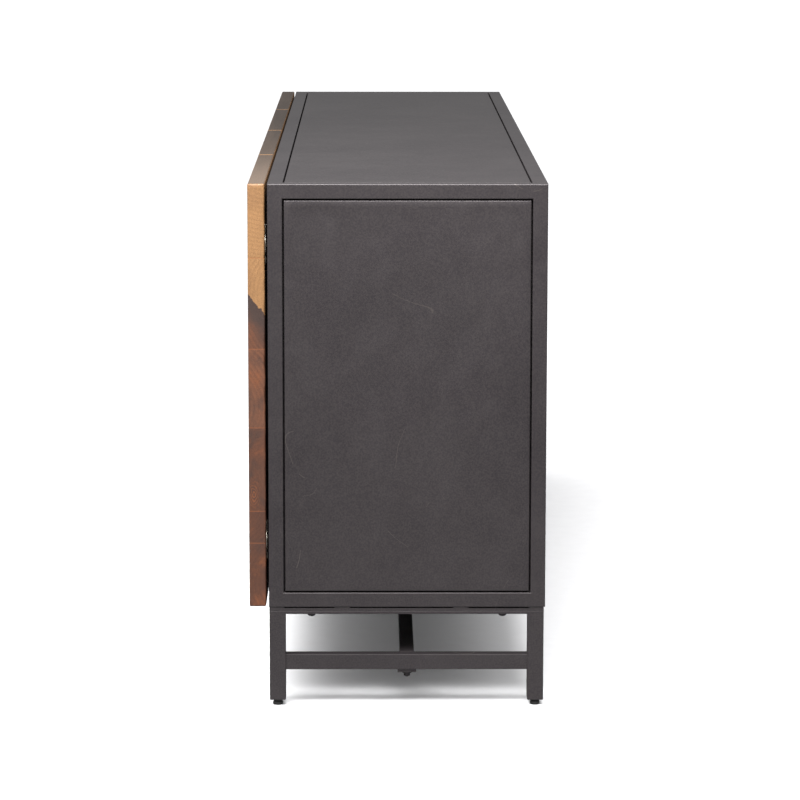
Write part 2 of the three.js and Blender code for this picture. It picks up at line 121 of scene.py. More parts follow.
class Graph:
    """A node tree with short ways to add and join its nodes."""

    def __init__(self, tree: bpy.types.NodeTree) -> None:
        """Keeps the tree."""
        self.tree = tree

    def add(self, kind: str, **settings: object) -> bpy.types.Node:
        """Adds a node.

        Args:
            kind: the node's type name.
            settings: properties to set on it.

        Returns:
            The node.
        """
        node = self.tree.nodes.new(kind)
        for name, value in settings.items():
            setattr(node, name, value)
        return node

    def feed(self, socket: bpy.types.NodeSocket, value: object) -> None:
        """Links a socket to an output, or sets its plain value."""
        if isinstance(value, bpy.types.NodeSocket):
            self.tree.links.new(value, socket)
        elif isinstance(value, tuple) and socket.type == "RGBA" and len(value) == 3:
            socket.default_value = (*value, 1.0)
        else:
            socket.default_value = value

    def math(self, operation: str, *values: object) -> bpy.types.NodeSocket:
        """A Math node over one to three values."""
        node = self.add("ShaderNodeMath", operation=operation)
        for socket, value in zip(node.inputs, values):
            self.feed(socket, value)
        return node.outputs[0]

    def vector(self, operation: str, *values: object) -> bpy.types.NodeSocket:
        """A Vector Math node; a length or a dot product comes back as its value."""
        node = self.add("ShaderNodeVectorMath", operation=operation)
        for socket, value in zip(node.inputs, values):
            self.feed(socket, value)
        return node.outputs["Value" if operation in ("LENGTH", "DOT_PRODUCT", "DISTANCE") else "Vector"]

    def mix(self, share: object, first: object, second: object, blend: str = "MIX") -> bpy.types.NodeSocket:
        """A colour mixed from two by a share."""
        node = self.add("ShaderNodeMix", data_type="RGBA", blend_type=blend)
        self.feed(node.inputs[0], share)
        self.feed(node.inputs[6], first)
        self.feed(node.inputs[7], second)
        return node.outputs[2]

    def stretch(self, value: object, low: object, high: object, to_low: float = 0.0,
                to_high: float = 1.0) -> bpy.types.NodeSocket:
        """A value mapped smoothly from one range to another, and held at its ends."""
        node = self.add("ShaderNodeMapRange", interpolation_type="SMOOTHSTEP")
        for socket, entry in zip(node.inputs, (value, low, high, to_low, to_high)):
            self.feed(socket, entry)
        return node.outputs[0]

    def noise(self, vector: object, scale: object, detail: float = 3.0, rough: float = 0.5,
              twist: float = 0.0) -> bpy.types.NodeSocket:
        """A Noise texture's value."""
        node = self.add("ShaderNodeTexNoise")
        self.feed(node.inputs["Vector"], vector)
        self.feed(node.inputs["Scale"], scale)
        node.inputs["Detail"].default_value = detail
        node.inputs["Roughness"].default_value = rough
        node.inputs["Distortion"].default_value = twist
        return node.outputs[0]

    def squeeze(self, vector: object, scale: Point) -> bpy.types.NodeSocket:
        """A vector with each of its parts multiplied."""
        return self.vector("MULTIPLY", vector, scale)

    def split(self, vector: object) -> tuple[bpy.types.NodeSocket, ...]:
        """A vector's three parts."""
        node = self.add("ShaderNodeSeparateXYZ")
        self.feed(node.inputs[0], vector)
        return tuple(node.outputs)

    def group(self, tree: bpy.types.NodeTree, **values: object) -> bpy.types.Node:
        """Places a node group and feeds its named inputs, underscores standing for spaces."""
        node = self.add("ShaderNodeGroup", node_tree=tree)
        for name, value in values.items():
            self.feed(node.inputs[name.replace("_", " ")], value)
        return node


def new_group(name: str, inputs: dict[str, tuple[str, object]],
              outputs: Sequence[str]) -> tuple[Graph, dict, dict]:
    """Starts a shader node group.

    Args:
        name: the group's name.
        inputs: socket name to its kind, Float or Vector, and default.
        outputs: names of its value outputs.

    Returns:
        The graph, the inner sockets of its inputs, and those of its outputs.
    """
    tree = bpy.data.node_groups.new(name, "ShaderNodeTree")
    for label, (kind, default) in inputs.items():
        socket = tree.interface.new_socket(label, in_out="INPUT", socket_type=f"NodeSocket{kind}")
        if default is not None:
            socket.default_value = default
    for label in outputs:
        tree.interface.new_socket(label, in_out="OUTPUT", socket_type="NodeSocketFloat")
    graph = Graph(tree)
    source = graph.add("NodeGroupInput")
    sink = graph.add("NodeGroupOutput")
    return graph, {s.name: s for s in source.outputs}, {s.name: s for s in sink.inputs}


def build_clouds() -> bpy.types.NodeTree:
    """Soft cloudy patches, for patina, dust and handling."""
    graph, given, made = new_group(
        "cloudy_patches",
        {"Vector": ("Vector", None), "Scale": ("Float", 4.0), "Low": ("Float", 0.4), "High": ("Float", 0.65)},
        ["Mask"],
    )
    drift = graph.noise(given["Vector"], 1.7, 2.0)
    moved = graph.vector("ADD", given["Vector"], graph.vector("MULTIPLY", drift, (0.2, 0.2, 0.2)))
    value = graph.noise(moved, given["Scale"], 5.0, 0.55, 0.6)
    graph.feed(made["Mask"], graph.stretch(value, given["Low"], given["High"]))
    return graph.tree


def build_hairlines() -> bpy.types.NodeTree:
    """Thin curved scratches, broken into short runs."""
    graph, given, made = new_group(
        "hairline_scratches",
        {"Vector": ("Vector", None), "Scale": ("Float", 6.0), "Width": ("Float", 0.003),
         "Cover": ("Float", 0.62)},
        ["Mask"],
    )
    value = graph.noise(given["Vector"], given["Scale"], 0.5, 0.4, 0.3)
    line = graph.math("LESS_THAN", graph.math("ABSOLUTE", graph.math("SUBTRACT", value, 0.5)), given["Width"])
    shifted = graph.vector("ADD", given["Vector"], (3.1, 7.7, 1.9))
    run = graph.math("GREATER_THAN", graph.noise(shifted, 9.0, 2.0), given["Cover"])
    graph.feed(made["Mask"], graph.math("MULTIPLY", line, run))
    return graph.tree


def build_figure() -> bpy.types.NodeTree:
    """The rings, fibre and pores of a board sawn along X from a log with its pith at a given place."""
    graph, given, made = new_group(
        "board_figure",
        {"Vector": ("Vector", None), "Pith": ("Vector", None), "Ring Width": ("Float", 0.006),
         "Wander": ("Float", 0.012)},
        ["Rings", "Fibre", "Pores"],
    )
    bend = graph.add("ShaderNodeTexNoise")
    graph.feed(bend.inputs["Vector"], graph.squeeze(given["Vector"], (1.6, 7.0, 7.0)))
    bend.inputs["Scale"].default_value = 1.0
    bend.inputs["Detail"].default_value = 2.5
    push = graph.vector("SUBTRACT", bend.outputs["Color"], (0.5, 0.5, 0.5))
    scaled = graph.add("ShaderNodeVectorMath", operation="SCALE")
    graph.feed(scaled.inputs[0], push)
    graph.feed(scaled.inputs["Scale"], given["Wander"])
    across = graph.squeeze(graph.vector("SUBTRACT", given["Vector"], given["Pith"]), (0.0, 1.0, 1.0))
    radius = graph.vector("LENGTH", graph.vector("ADD", across, scaled.outputs[0]))
    ripple = graph.noise(graph.squeeze(given["Vector"], (9.0, 160.0, 160.0)), 1.0, 2.0)
    count = graph.math("DIVIDE", radius, given["Ring Width"])
    turns = graph.math("ADD", count, graph.math("MULTIPLY", ripple, 0.35))
    phase = graph.math("FRACT", turns)
    rise = graph.stretch(phase, 0.15, 0.88)
    fall = graph.stretch(phase, 0.9, 1.0, 1.0, 0.0)
    graph.feed(made["Rings"], graph.math("MULTIPLY", rise, fall))
    fibre = graph.noise(graph.squeeze(given["Vector"], (22.0, 800.0, 800.0)), 1.0, 4.0, 0.6)
    graph.feed(made["Fibre"], fibre)
    pores = graph.noise(graph.squeeze(given["Vector"], (55.0, 1500.0, 1500.0)), 1.0, 1.0)
    graph.feed(made["Pores"], graph.stretch(pores, 0.63, 0.72))
    return graph.tree


@dataclass(frozen=True)
class SharedEffects:
    """Node groups that more than one finish uses."""

    clouds: bpy.types.NodeTree
    hairlines: bpy.types.NodeTree
    figure: bpy.types.NodeTree

    @classmethod
    def build(cls) -> SharedEffects:
        """Builds each group once."""
        return cls(build_clouds(), build_hairlines(), build_figure())


def new_material(name: str) -> tuple[bpy.types.Material, Graph, bpy.types.Node, bpy.types.NodeSocket]:
    """A material with a bare Principled shader.

    Args:
        name: the finish's name.

    Returns:
        The material, its graph, its shader node and its Object coordinates.
    """
    material = bpy.data.materials.new(name)
    material.use_nodes = True
    graph = Graph(material.node_tree)
    shader = next(node for node in material.node_tree.nodes if node.type == "BSDF_PRINCIPLED")
    place = graph.add("ShaderNodeTexCoord").outputs["Object"]
    return material, graph, shader, place


def set_bump(graph: Graph, shader: bpy.types.Node, height: object, strength: float, distance: float) -> None:
    """Feeds a Bump node's normal to the shader."""
    bump = graph.add("ShaderNodeBump")
    bump.inputs["Strength"].default_value = strength
    bump.inputs["Distance"].default_value = distance
    graph.feed(bump.inputs["Height"], height)
    graph.feed(shader.inputs["Normal"], bump.outputs["Normal"])


@dataclass(frozen=True)
class GunmetalFinish:
    """Steel darkened by a patina and lacquered: cloudy, faintly scratched, soft in its shine."""

    dark: Colour = srgb(36, 32, 35)
    pale: Colour = srgb(48, 44, 46)
    bare: Colour = srgb(104, 97, 92)
    roughness: float = 0.45
    metallic: float = 0.5
    specular: float = 0.5

    def build(self, effects: SharedEffects) -> bpy.types.Material:
        """Returns the finish as a material."""
        material, graph, shader, place = new_material("gunmetal_patina")
        broad = graph.group(effects.clouds, Vector=place, Scale=3.2, Low=0.36, High=0.66).outputs[0]
        close = graph.group(effects.clouds, Vector=place, Scale=17.0, Low=0.35, High=0.7).outputs[0]
        speck = graph.noise(place, 420.0, 2.0)
        lines = graph.group(effects.hairlines, Vector=place, Scale=5.0, Width=0.0011, Cover=0.58).outputs[0]
        drawn_out = graph.squeeze(place, (1.0, 2.6, 0.5))
        cross = graph.group(effects.hairlines, Vector=drawn_out, Scale=8.0, Width=0.001, Cover=0.64)
        worn = graph.math("MAXIMUM", lines, cross.outputs[0])
        share = graph.math("ADD", graph.math("MULTIPLY", broad, 0.5), graph.math("MULTIPLY", close, 0.16))
        share = graph.math("ADD", share, 0.1)
        tone = graph.mix(share, self.dark, self.pale)
        tone = graph.mix(graph.stretch(speck, 0.3, 0.7, 0.0, 0.1), tone, self.bare)
        tone = graph.mix(graph.math("MULTIPLY", worn, 0.22), tone, self.bare)
        graph.feed(shader.inputs["Base Color"], tone)
        gloss = graph.math("ADD", self.roughness - 0.02, graph.math("MULTIPLY", close, 0.04))
        gloss = graph.math("ADD", gloss, graph.math("MULTIPLY", broad, -0.025))
        gloss = graph.math("SUBTRACT", gloss, graph.math("MULTIPLY", worn, 0.1))
        graph.feed(shader.inputs["Roughness"], gloss)
        shader.inputs["Metallic"].default_value = self.metallic
        shader.inputs["Specular IOR Level"].default_value = self.specular
        grain = graph.math("SUBTRACT", graph.math("MULTIPLY", speck, 0.4), worn)
        set_bump(graph, shader, grain, 0.12, 0.0004)
        return material


@dataclass(frozen=True)
class BoardFinish:
    """Solid boards glued edge to edge: red-brown heartwood under a pale sapwood band, oiled."""

    name: str = "door_boards"
    deep: Colour = srgb(58, 34, 25)
    warm: Colour = srgb(94, 60, 42)
    smoke: Colour = srgb(50, 38, 34)
    ember: Colour = srgb(116, 66, 36)
    sap_pale: Colour = srgb(126, 93, 60)
    sap_deep: Colour = srgb(94, 65, 39)
    # Colours of the doors' top and bottom faces; the third is a painted sheen, mixed in towards the near end.
    edge_dark: Colour = srgb(20, 15, 12)
    edge_pale: Colour = srgb(40, 32, 26)
    edge_painted_sheen: Colour = srgb(92, 79, 68)
    knot_at: Point = (1.016, -0.2205, 0.334)
    knot_reach: float = 0.03
    sap_height: float = 0.629
    sap_slope: float = -1.15
    sap_wave: float = 0.042
    end_x: float = 1.016
    middle_y: float = -0.2155
    ring_width: float = 0.0064
    wander: float = 0.03
    roughness: float = 0.45
    has_sap: bool = True

    def sap_edge(self, graph: Graph, place: object) -> bpy.types.NodeSocket:
        """Height above the wavy line where heartwood turns to sapwood.

        Args:
            graph: the material's graph.
            place: Object coordinates.

        Returns:
            The height as a socket, below zero in the heartwood.
        """
        x, y, z = graph.split(place)
        along = graph.math("SUBTRACT", x, self.end_x)
        slow = graph.math("SINE", graph.math("MULTIPLY", along, 2.1))
        slow = graph.math("MULTIPLY", slow, self.sap_wave)
        quick = graph.math("SINE", graph.math("MULTIPLY", along, 6.3))
        quick = graph.math("MULTIPLY", quick, self.sap_wave / 3)
        lean = graph.math("MULTIPLY", graph.math("SUBTRACT", y, self.middle_y), self.sap_slope)
        edge = graph.math("ADD", graph.math("ADD", slow, quick), graph.math("ADD", lean, self.sap_height))
        ragged = graph.noise(graph.squeeze(place, (22.0, 150.0, 150.0)), 1.0, 4.0)
        edge = graph.math("ADD", edge, graph.math("MULTIPLY", graph.math("SUBTRACT", ragged, 0.5), 0.013))
        return graph.math("SUBTRACT", z, edge)

    def knot(self, graph: Graph, place: object, fibre: object) -> bpy.types.NodeSocket:
        """A small knot's bright rings in the heartwood, as a mask.

        Args:
            graph: the material's graph.
            place: Object coordinates.
            fibre: the fibre's value, which breaks the rings up.

        Returns:
            The mask as a socket.
        """
        away = graph.squeeze(graph.vector("SUBTRACT", place, self.knot_at), (0.35, 1.6, 0.8))
        wobble = graph.math("MULTIPLY", graph.noise(place, 90.0, 3.0), 0.012)
        distance = graph.math("ADD", graph.vector("LENGTH", away), wobble)
        wave = graph.math("SINE", graph.math("MULTIPLY", distance, 1500.0))
        fade = graph.stretch(distance, 0.004, self.knot_reach, 0.85, 0.0)
        rings = graph.math("MULTIPLY", graph.stretch(wave, -0.2, 0.9), fade)
        return graph.math("MULTIPLY", rings, graph.stretch(fibre, 0.25, 0.6, 0.5, 1.0))

    def build(self, effects: SharedEffects) -> bpy.types.Material:
        """Returns the finish as a material."""
        material, graph, shader, place = new_material(self.name)
        pith = graph.add("ShaderNodeAttribute", attribute_name="pith").outputs["Vector"]
        tone = graph.add("ShaderNodeAttribute", attribute_name="tone").outputs["Fac"]
        joint = graph.add("ShaderNodeAttribute", attribute_name="joint").outputs["Fac"]
        edge_face = graph.add("ShaderNodeAttribute", attribute_name="edge_face").outputs["Fac"]
        figure = graph.group(
            effects.figure, Vector=place, Pith=pith, Ring_Width=self.ring_width, Wander=self.wander,
        )
        rings, fibre, pores = figure.outputs
        streaks = graph.noise(graph.squeeze(place, (1.3, 26.0, 26.0)), 1.0, 3.0, 0.6, 0.4)
        patch = graph.group(
            effects.clouds, Vector=graph.squeeze(place, (0.5, 3.0, 3.0)), Scale=5.0, Low=0.42, High=0.68,
        ).outputs[0]
        heart = graph.mix(tone, self.deep, self.warm)
        heart = graph.mix(graph.stretch(streaks, 0.5, 0.72, 0.0, 0.75), heart, self.smoke)
        heart = graph.mix(graph.stretch(streaks, 0.5, 0.28, 0.0, 0.5), heart, self.ember)
        heart = graph.mix(graph.math("MULTIPLY", rings, 0.28), heart, self.deep)
        colour = heart
        if self.has_sap:
            above = self.sap_edge(graph, place)
            sap = graph.mix(graph.math("MULTIPLY", rings, 0.2), self.sap_pale, self.sap_deep)
            sap = graph.mix(graph.math("MULTIPLY", patch, 0.4), sap, self.sap_deep)
            near = graph.stretch(graph.math("MULTIPLY", above, -1.0), 0.015, 0.065, 0.95, 0.0)
            colour = graph.mix(near, heart, self.smoke)
            colour = graph.mix(graph.stretch(above, -0.0006, 0.0006), colour, sap)
            colour = graph.mix(self.knot(graph, place, fibre), colour, self.ember)
        colour = graph.mix(graph.stretch(fibre, 0.35, 0.68, 0.0, 0.3), colour, self.deep, "MULTIPLY")
        colour = graph.mix(graph.math("MULTIPLY", pores, 0.35), colour, self.smoke, "MULTIPLY")
        colour = graph.mix(graph.math("MULTIPLY", joint, 0.5), colour, self.ember)
        # The doors' top and bottom faces take a near-black colour; towards the near end (+X) a painted sheen
        # lightens it, standing in for the grazing reflection on the top edges.
        edge_tone_and_sheen = graph.mix(graph.stretch(streaks, 0.3, 0.7, 0.0, 1.0), self.edge_dark, self.edge_pale)
        painted_sheen = graph.stretch(graph.split(place)[0], 0.35, self.end_x, 0.0, 0.5)
        edge_tone_and_sheen = graph.mix(painted_sheen, edge_tone_and_sheen, self.edge_painted_sheen)
        colour = graph.mix(graph.math("MULTIPLY", edge_face, 0.94), colour, edge_tone_and_sheen)
        graph.feed(shader.inputs["Base Color"], colour)
        gloss = graph.math("ADD", self.roughness - 0.06, graph.math("MULTIPLY", fibre, 0.14))
        gloss = graph.math("ADD", gloss, graph.math("MULTIPLY", edge_face, 0.25))
        graph.feed(shader.inputs["Roughness"], graph.math("ADD", gloss, graph.math("MULTIPLY", patch, 0.05)))
        shader.inputs["Specular IOR Level"].default_value = 0.34
        relief = graph.math("ADD", graph.math("MULTIPLY", fibre, 0.6), graph.math("MULTIPLY", rings, 0.35))
        relief = graph.math("SUBTRACT", relief, graph.math("MULTIPLY", pores, 0.8))
        set_bump(graph, shader, relief, 0.22, 0.0005)
        return material


@dataclass(frozen=True)
class PlatedSteelFinish:
    """Nickel-plated steel with a fine rolled grain."""

    tone: Colour = srgb(172, 166, 155)
    dull: Colour = srgb(124, 118, 108)
    roughness: float = 0.3

    def build(self, effects: SharedEffects) -> bpy.types.Material:
        """Returns the finish as a material."""
        material, graph, shader, place = new_material("nickel_plate")
        rolled = graph.noise(graph.squeeze(place, (900.0, 60.0, 900.0)), 1.0, 3.0)
        haze = graph.group(effects.clouds, Vector=place, Scale=60.0, Low=0.4, High=0.7).outputs[0]
        tone = graph.mix(graph.math("MULTIPLY", haze, 0.6), self.tone, self.dull)
        graph.feed(shader.inputs["Base Color"], tone)
        gloss = graph.math("ADD", self.roughness, graph.math("MULTIPLY", rolled, 0.12))
        graph.feed(shader.inputs["Roughness"], graph.math("ADD", gloss, graph.math("MULTIPLY", haze, 0.08)))
        shader.inputs["Metallic"].default_value = 1.0
        set_bump(graph, shader, rolled, 0.08, 0.0002)
        return material


@dataclass(frozen=True)
class DarkFinish:
    """A near-black finish: oxide on a bolt, or moulded nylon."""

    name: str
    tone: Colour
    worn: Colour
    roughness: float
    metallic: float
    grain: float

    def build(self, effects: SharedEffects) -> bpy.types.Material:
        """Returns the finish as a material."""
        material, graph, shader, place = new_material(self.name)
        rubbed = graph.group(effects.clouds, Vector=place, Scale=90.0, Low=0.5, High=0.75).outputs[0]
        stipple = graph.noise(place, self.grain, 2.0)
        tone = graph.mix(graph.math("MULTIPLY", rubbed, 0.6), self.tone, self.worn)
        graph.feed(shader.inputs["Base Color"], tone)
        gloss = graph.math("ADD", self.roughness - 0.05, graph.math("MULTIPLY", stipple, 0.14))
        graph.feed(shader.inputs["Roughness"], gloss)
        shader.inputs["Metallic"].default_value = self.metallic
        set_bump(graph, shader, stipple, 0.15, 0.0002)
        return material


@dataclass(frozen=True)
class Finishes:
    """Every finish, built once, by the record's slot."""

    by_slot: dict[Slot, bpy.types.Material]

    @classmethod
    def build(cls) -> Finishes:
        """Builds the shared effects and the materials that use them."""
        effects = SharedEffects.build()
        inside = BoardFinish(
            name="inside_veneer", deep=srgb(84, 58, 46), warm=srgb(120, 86, 66), ring_width=0.009,
            wander=0.03, roughness=0.5, has_sap=False,
        )
        oxide = DarkFinish("black_oxide", srgb(30, 28, 29), srgb(58, 54, 54), 0.42, 0.7, 1600.0)
        nylon = DarkFinish("black_nylon", srgb(22, 22, 22), srgb(34, 34, 34), 0.5, 0.0, 2600.0)
        return cls({
            Slot.GUNMETAL: GunmetalFinish().build(effects),
            Slot.DOOR_WOOD: BoardFinish().build(effects),
            Slot.INSIDE_WOOD: inside.build(effects),
            Slot.HARDWARE: PlatedSteelFinish().build(effects),
            Slot.BOLTS: oxide.build(effects),
            Slot.PLASTIC: nylon.build(effects),
        })

    def __getitem__(self, slot: Slot) -> bpy.types.Material:
        """The material of a slot."""
        return self.by_slot[slot]


# ---- Meshes ------------------------------------------------------------------------


def object_from(name: str, shape: bmesh.types.BMesh, smooth_below: float = 40.0) -> bpy.types.Object:
    """Turns a bmesh into an object with its normals outward and its sharp edges kept.

    Args:
        name: the new object's name.
        shape: the bmesh, which is freed.
        smooth_below: faces meeting at less than this angle, in degrees, shade smoothly.

    Returns:
        The object, linked to the scene.
    """
    bmesh.ops.recalc_face_normals(shape, faces=shape.faces)
    mesh = bpy.data.meshes.new(name)
    shape.to_mesh(mesh)
    shape.free()
    mesh.polygons.foreach_set("use_smooth", [True] * len(mesh.polygons))
    mesh.set_sharp_from_angle(angle=math.radians(smooth_below))
    made = bpy.data.objects.new(name, mesh)
    bpy.context.scene.collection.objects.link(made)
    return made


def add_block(shape: bmesh.types.BMesh, low: Sequence[float], high: Sequence[float], round_by: float,
              steps: int = 2) -> None:
    """Adds a block with rounded edges to a bmesh.

    Args:
        shape: the bmesh.
        low: lowest corner.
        high: highest corner.
        round_by: radius of its edges.
        steps: segments of each rounded edge.
    """
    middle = [(a + b) / 2 for a, b in zip(low, high)]
    size = [b - a for a, b in zip(low, high)]
    matrix = Matrix.Translation(middle) @ Matrix.Diagonal((*size, 1.0))
    verts = bmesh.ops.create_cube(shape, size=1.0, matrix=matrix)["verts"]
    edges = list({edge for vert in verts for edge in vert.link_edges})
    bmesh.ops.bevel(shape, geom=edges, offset=round_by, segments=steps, profile=0.5, affect="EDGES")


def add_turned(shape: bmesh.types.BMesh, outline: Sequence[tuple[float, float]], centre: Sequence[float],
               axis: Axis, count: int) -> None:
    """Adds a closed solid of revolution.

    Args:
        shape: the bmesh.
        outline: (radius, distance along the axis) points that start and end on the axis.
        centre: where distance zero is.
        axis: the direction it stands along.
        count: faces around it, so that 6 make it a hexagon.
    """
    rings: list[list[bmesh.types.BMVert]] = []

    def place(radius: float, rise: float, turn: float) -> Vector:
        """A point of the outline at a turn about the axis."""
        flat = (radius * math.cos(turn), radius * math.sin(turn), rise)
        shift = axis.value
        return Vector(flat[-shift:] + flat[:-shift] if shift else flat) + Vector(centre)

    for radius, rise in outline:
        if radius < 1e-7:
            rings.append([shape.verts.new(place(0.0, rise, 0.0))])
        else:
            rings.append([shape.verts.new(place(radius, rise, math.tau * i / count)) for i in range(count)])
    for below, above in zip(rings, rings[1:]):
        for i in range(count):
            j = (i + 1) % count
            lower = [below[i % len(below)], below[j % len(below)]]
            upper = [above[j % len(above)], above[i % len(above)]]
            unique = list(dict.fromkeys([*lower, *upper]))
            if len(unique) > 2:
                shape.faces.new(unique)


def quarter_arc(radius: float, steps: int) -> list[tuple[float, float]]:
    """A rounded edge as (distance in from the edge, how far the face draws back there) pairs."""
    turns = [math.pi / 2 * k / steps for k in range(steps + 1)]
    return [(radius * (1 - math.cos(turn)), radius * (1 - math.sin(turn))) for turn in turns]


def rounded_outline(points: Sequence[tuple[float, float]], round_by: float,
                    steps: int = 3) -> list[tuple[float, float]]:
    """A turned piece's outline with each inner corner eased by an arc-like curve."""
    eased = [points[0]]
    for before, corner, after in zip(points, points[1:], points[2:]):
        start, turn, end = Vector(before), Vector(corner), Vector(after)
        reach = min(round_by, (start - turn).length * 0.45, (end - turn).length * 0.45)
        first = turn + (start - turn).normalized() * reach
        last = turn + (end - turn).normalized() * reach
        for step in range(steps + 1):
            share = step / steps
            spot = first.lerp(turn, share).lerp(turn.lerp(last, share), share)
            eased.append((spot.x, spot.y))
    return [*eased, points[-1]]


def plain_copy(source: bpy.types.Object, name: str) -> bpy.types.Object:
    """An object's evaluated mesh as a new plain object, in place of the first.

    Args:
        source: the object with live modifiers, which is removed.
        name: the new object's name.

    Returns:
        The plain object.
    """
    graph = bpy.context.evaluated_depsgraph_get()
    shown = source.evaluated_get(graph)
    mesh = bpy.data.meshes.new_from_object(shown, preserve_all_data_layers=True, depsgraph=graph)
    bpy.data.objects.remove(source)
    mesh.name = name
    made = bpy.data.objects.new(name, mesh)
    bpy.context.scene.collection.objects.link(made)
    return made


@dataclass
class Shop:
    """Dresses pieces, sets them on their bodies and counts them."""

    frame: dict
    finishes: Finishes
    count: int = 0

    def paint(self, piece: bpy.types.Object, slot: Slot) -> None:
        """Gives a piece one material."""
        piece.data.materials.clear()
        piece.data.materials.append(self.finishes[slot])

    def fit(self, piece: bpy.types.Object, body: str, slot: Slot, nodes: Sequence[str] = ()) -> None:
        """Dresses a new piece, sets it on its body and hides what it stands for.

        Args:
            piece: the new piece, at the origin.
            body: the body that it moves with.
            slot: its finish.
            nodes: the plain nodes that it replaces.
        """
        self.paint(piece, slot)
        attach(piece, body)
        if nodes:
            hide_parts(*nodes)
        self.count += 1
        LOG.info("%s on %s: %d faces", piece.name, body, len(piece.data.polygons))

    def dress(self, node: str, slot: Slot, soften: float = 0.0) -> None:
        """Gives a kept node its finish, and softens its edges where asked.

        Args:
            node: the node's name.
            slot: its finish.
            soften: width of the softened edge, or 0.
        """
        piece = self.frame["nodes"][node]
        if not piece.material_slots:
            piece.data.materials.append(self.finishes[slot])
        for holder in piece.material_slots:
            holder.material = self.finishes[slot]
        if soften:
            weld = piece.modifiers.new("weld", "WELD")
            weld.merge_threshold = 2e-5
            ease = piece.modifiers.new("soft_edge", "BEVEL")
            ease.width = soften
            ease.segments = 2
            ease.limit_method = "ANGLE"
            ease.angle_limit = math.radians(35)


# ---- Repeated pieces, by Geometry Nodes ------------------------------------------------


def new_instancer(name: str, sizes: dict[str, float], material: bpy.types.Material) -> tuple[Graph, object]:
    """Starts a Geometry Nodes tree that turns a mesh into instances of one fine piece.

    Args:
        name: the tree's name.
        sizes: its sizes by name, with their defaults.
        material: the default of its Finish.

    Returns:
        The graph and its input sockets.
    """
    tree = bpy.data.node_groups.new(name, "GeometryNodeTree")
    face = tree.interface
    face.new_socket("Geometry", in_out="INPUT", socket_type="NodeSocketGeometry")
    for label, default in sizes.items():
        face.new_socket(label, in_out="INPUT", socket_type="NodeSocketFloat").default_value = default
    face.new_socket("Finish", in_out="INPUT", socket_type="NodeSocketMaterial").default_value = material
    face.new_socket("Geometry", in_out="OUTPUT", socket_type="NodeSocketGeometry")
    graph = Graph(tree)
    return graph, graph.add("NodeGroupInput").outputs


def put_out(graph: Graph, instances: object, material: object) -> None:
    """Makes the instances real, paints them and puts them out."""
    real = graph.add("GeometryNodeRealizeInstances")
    graph.feed(real.inputs["Geometry"], instances)
    paint = graph.add("GeometryNodeSetMaterial")
    graph.feed(paint.inputs["Geometry"], real.outputs[0])
    graph.feed(paint.inputs["Material"], material)
    graph.feed(graph.add("NodeGroupOutput").inputs["Geometry"], paint.outputs[0])


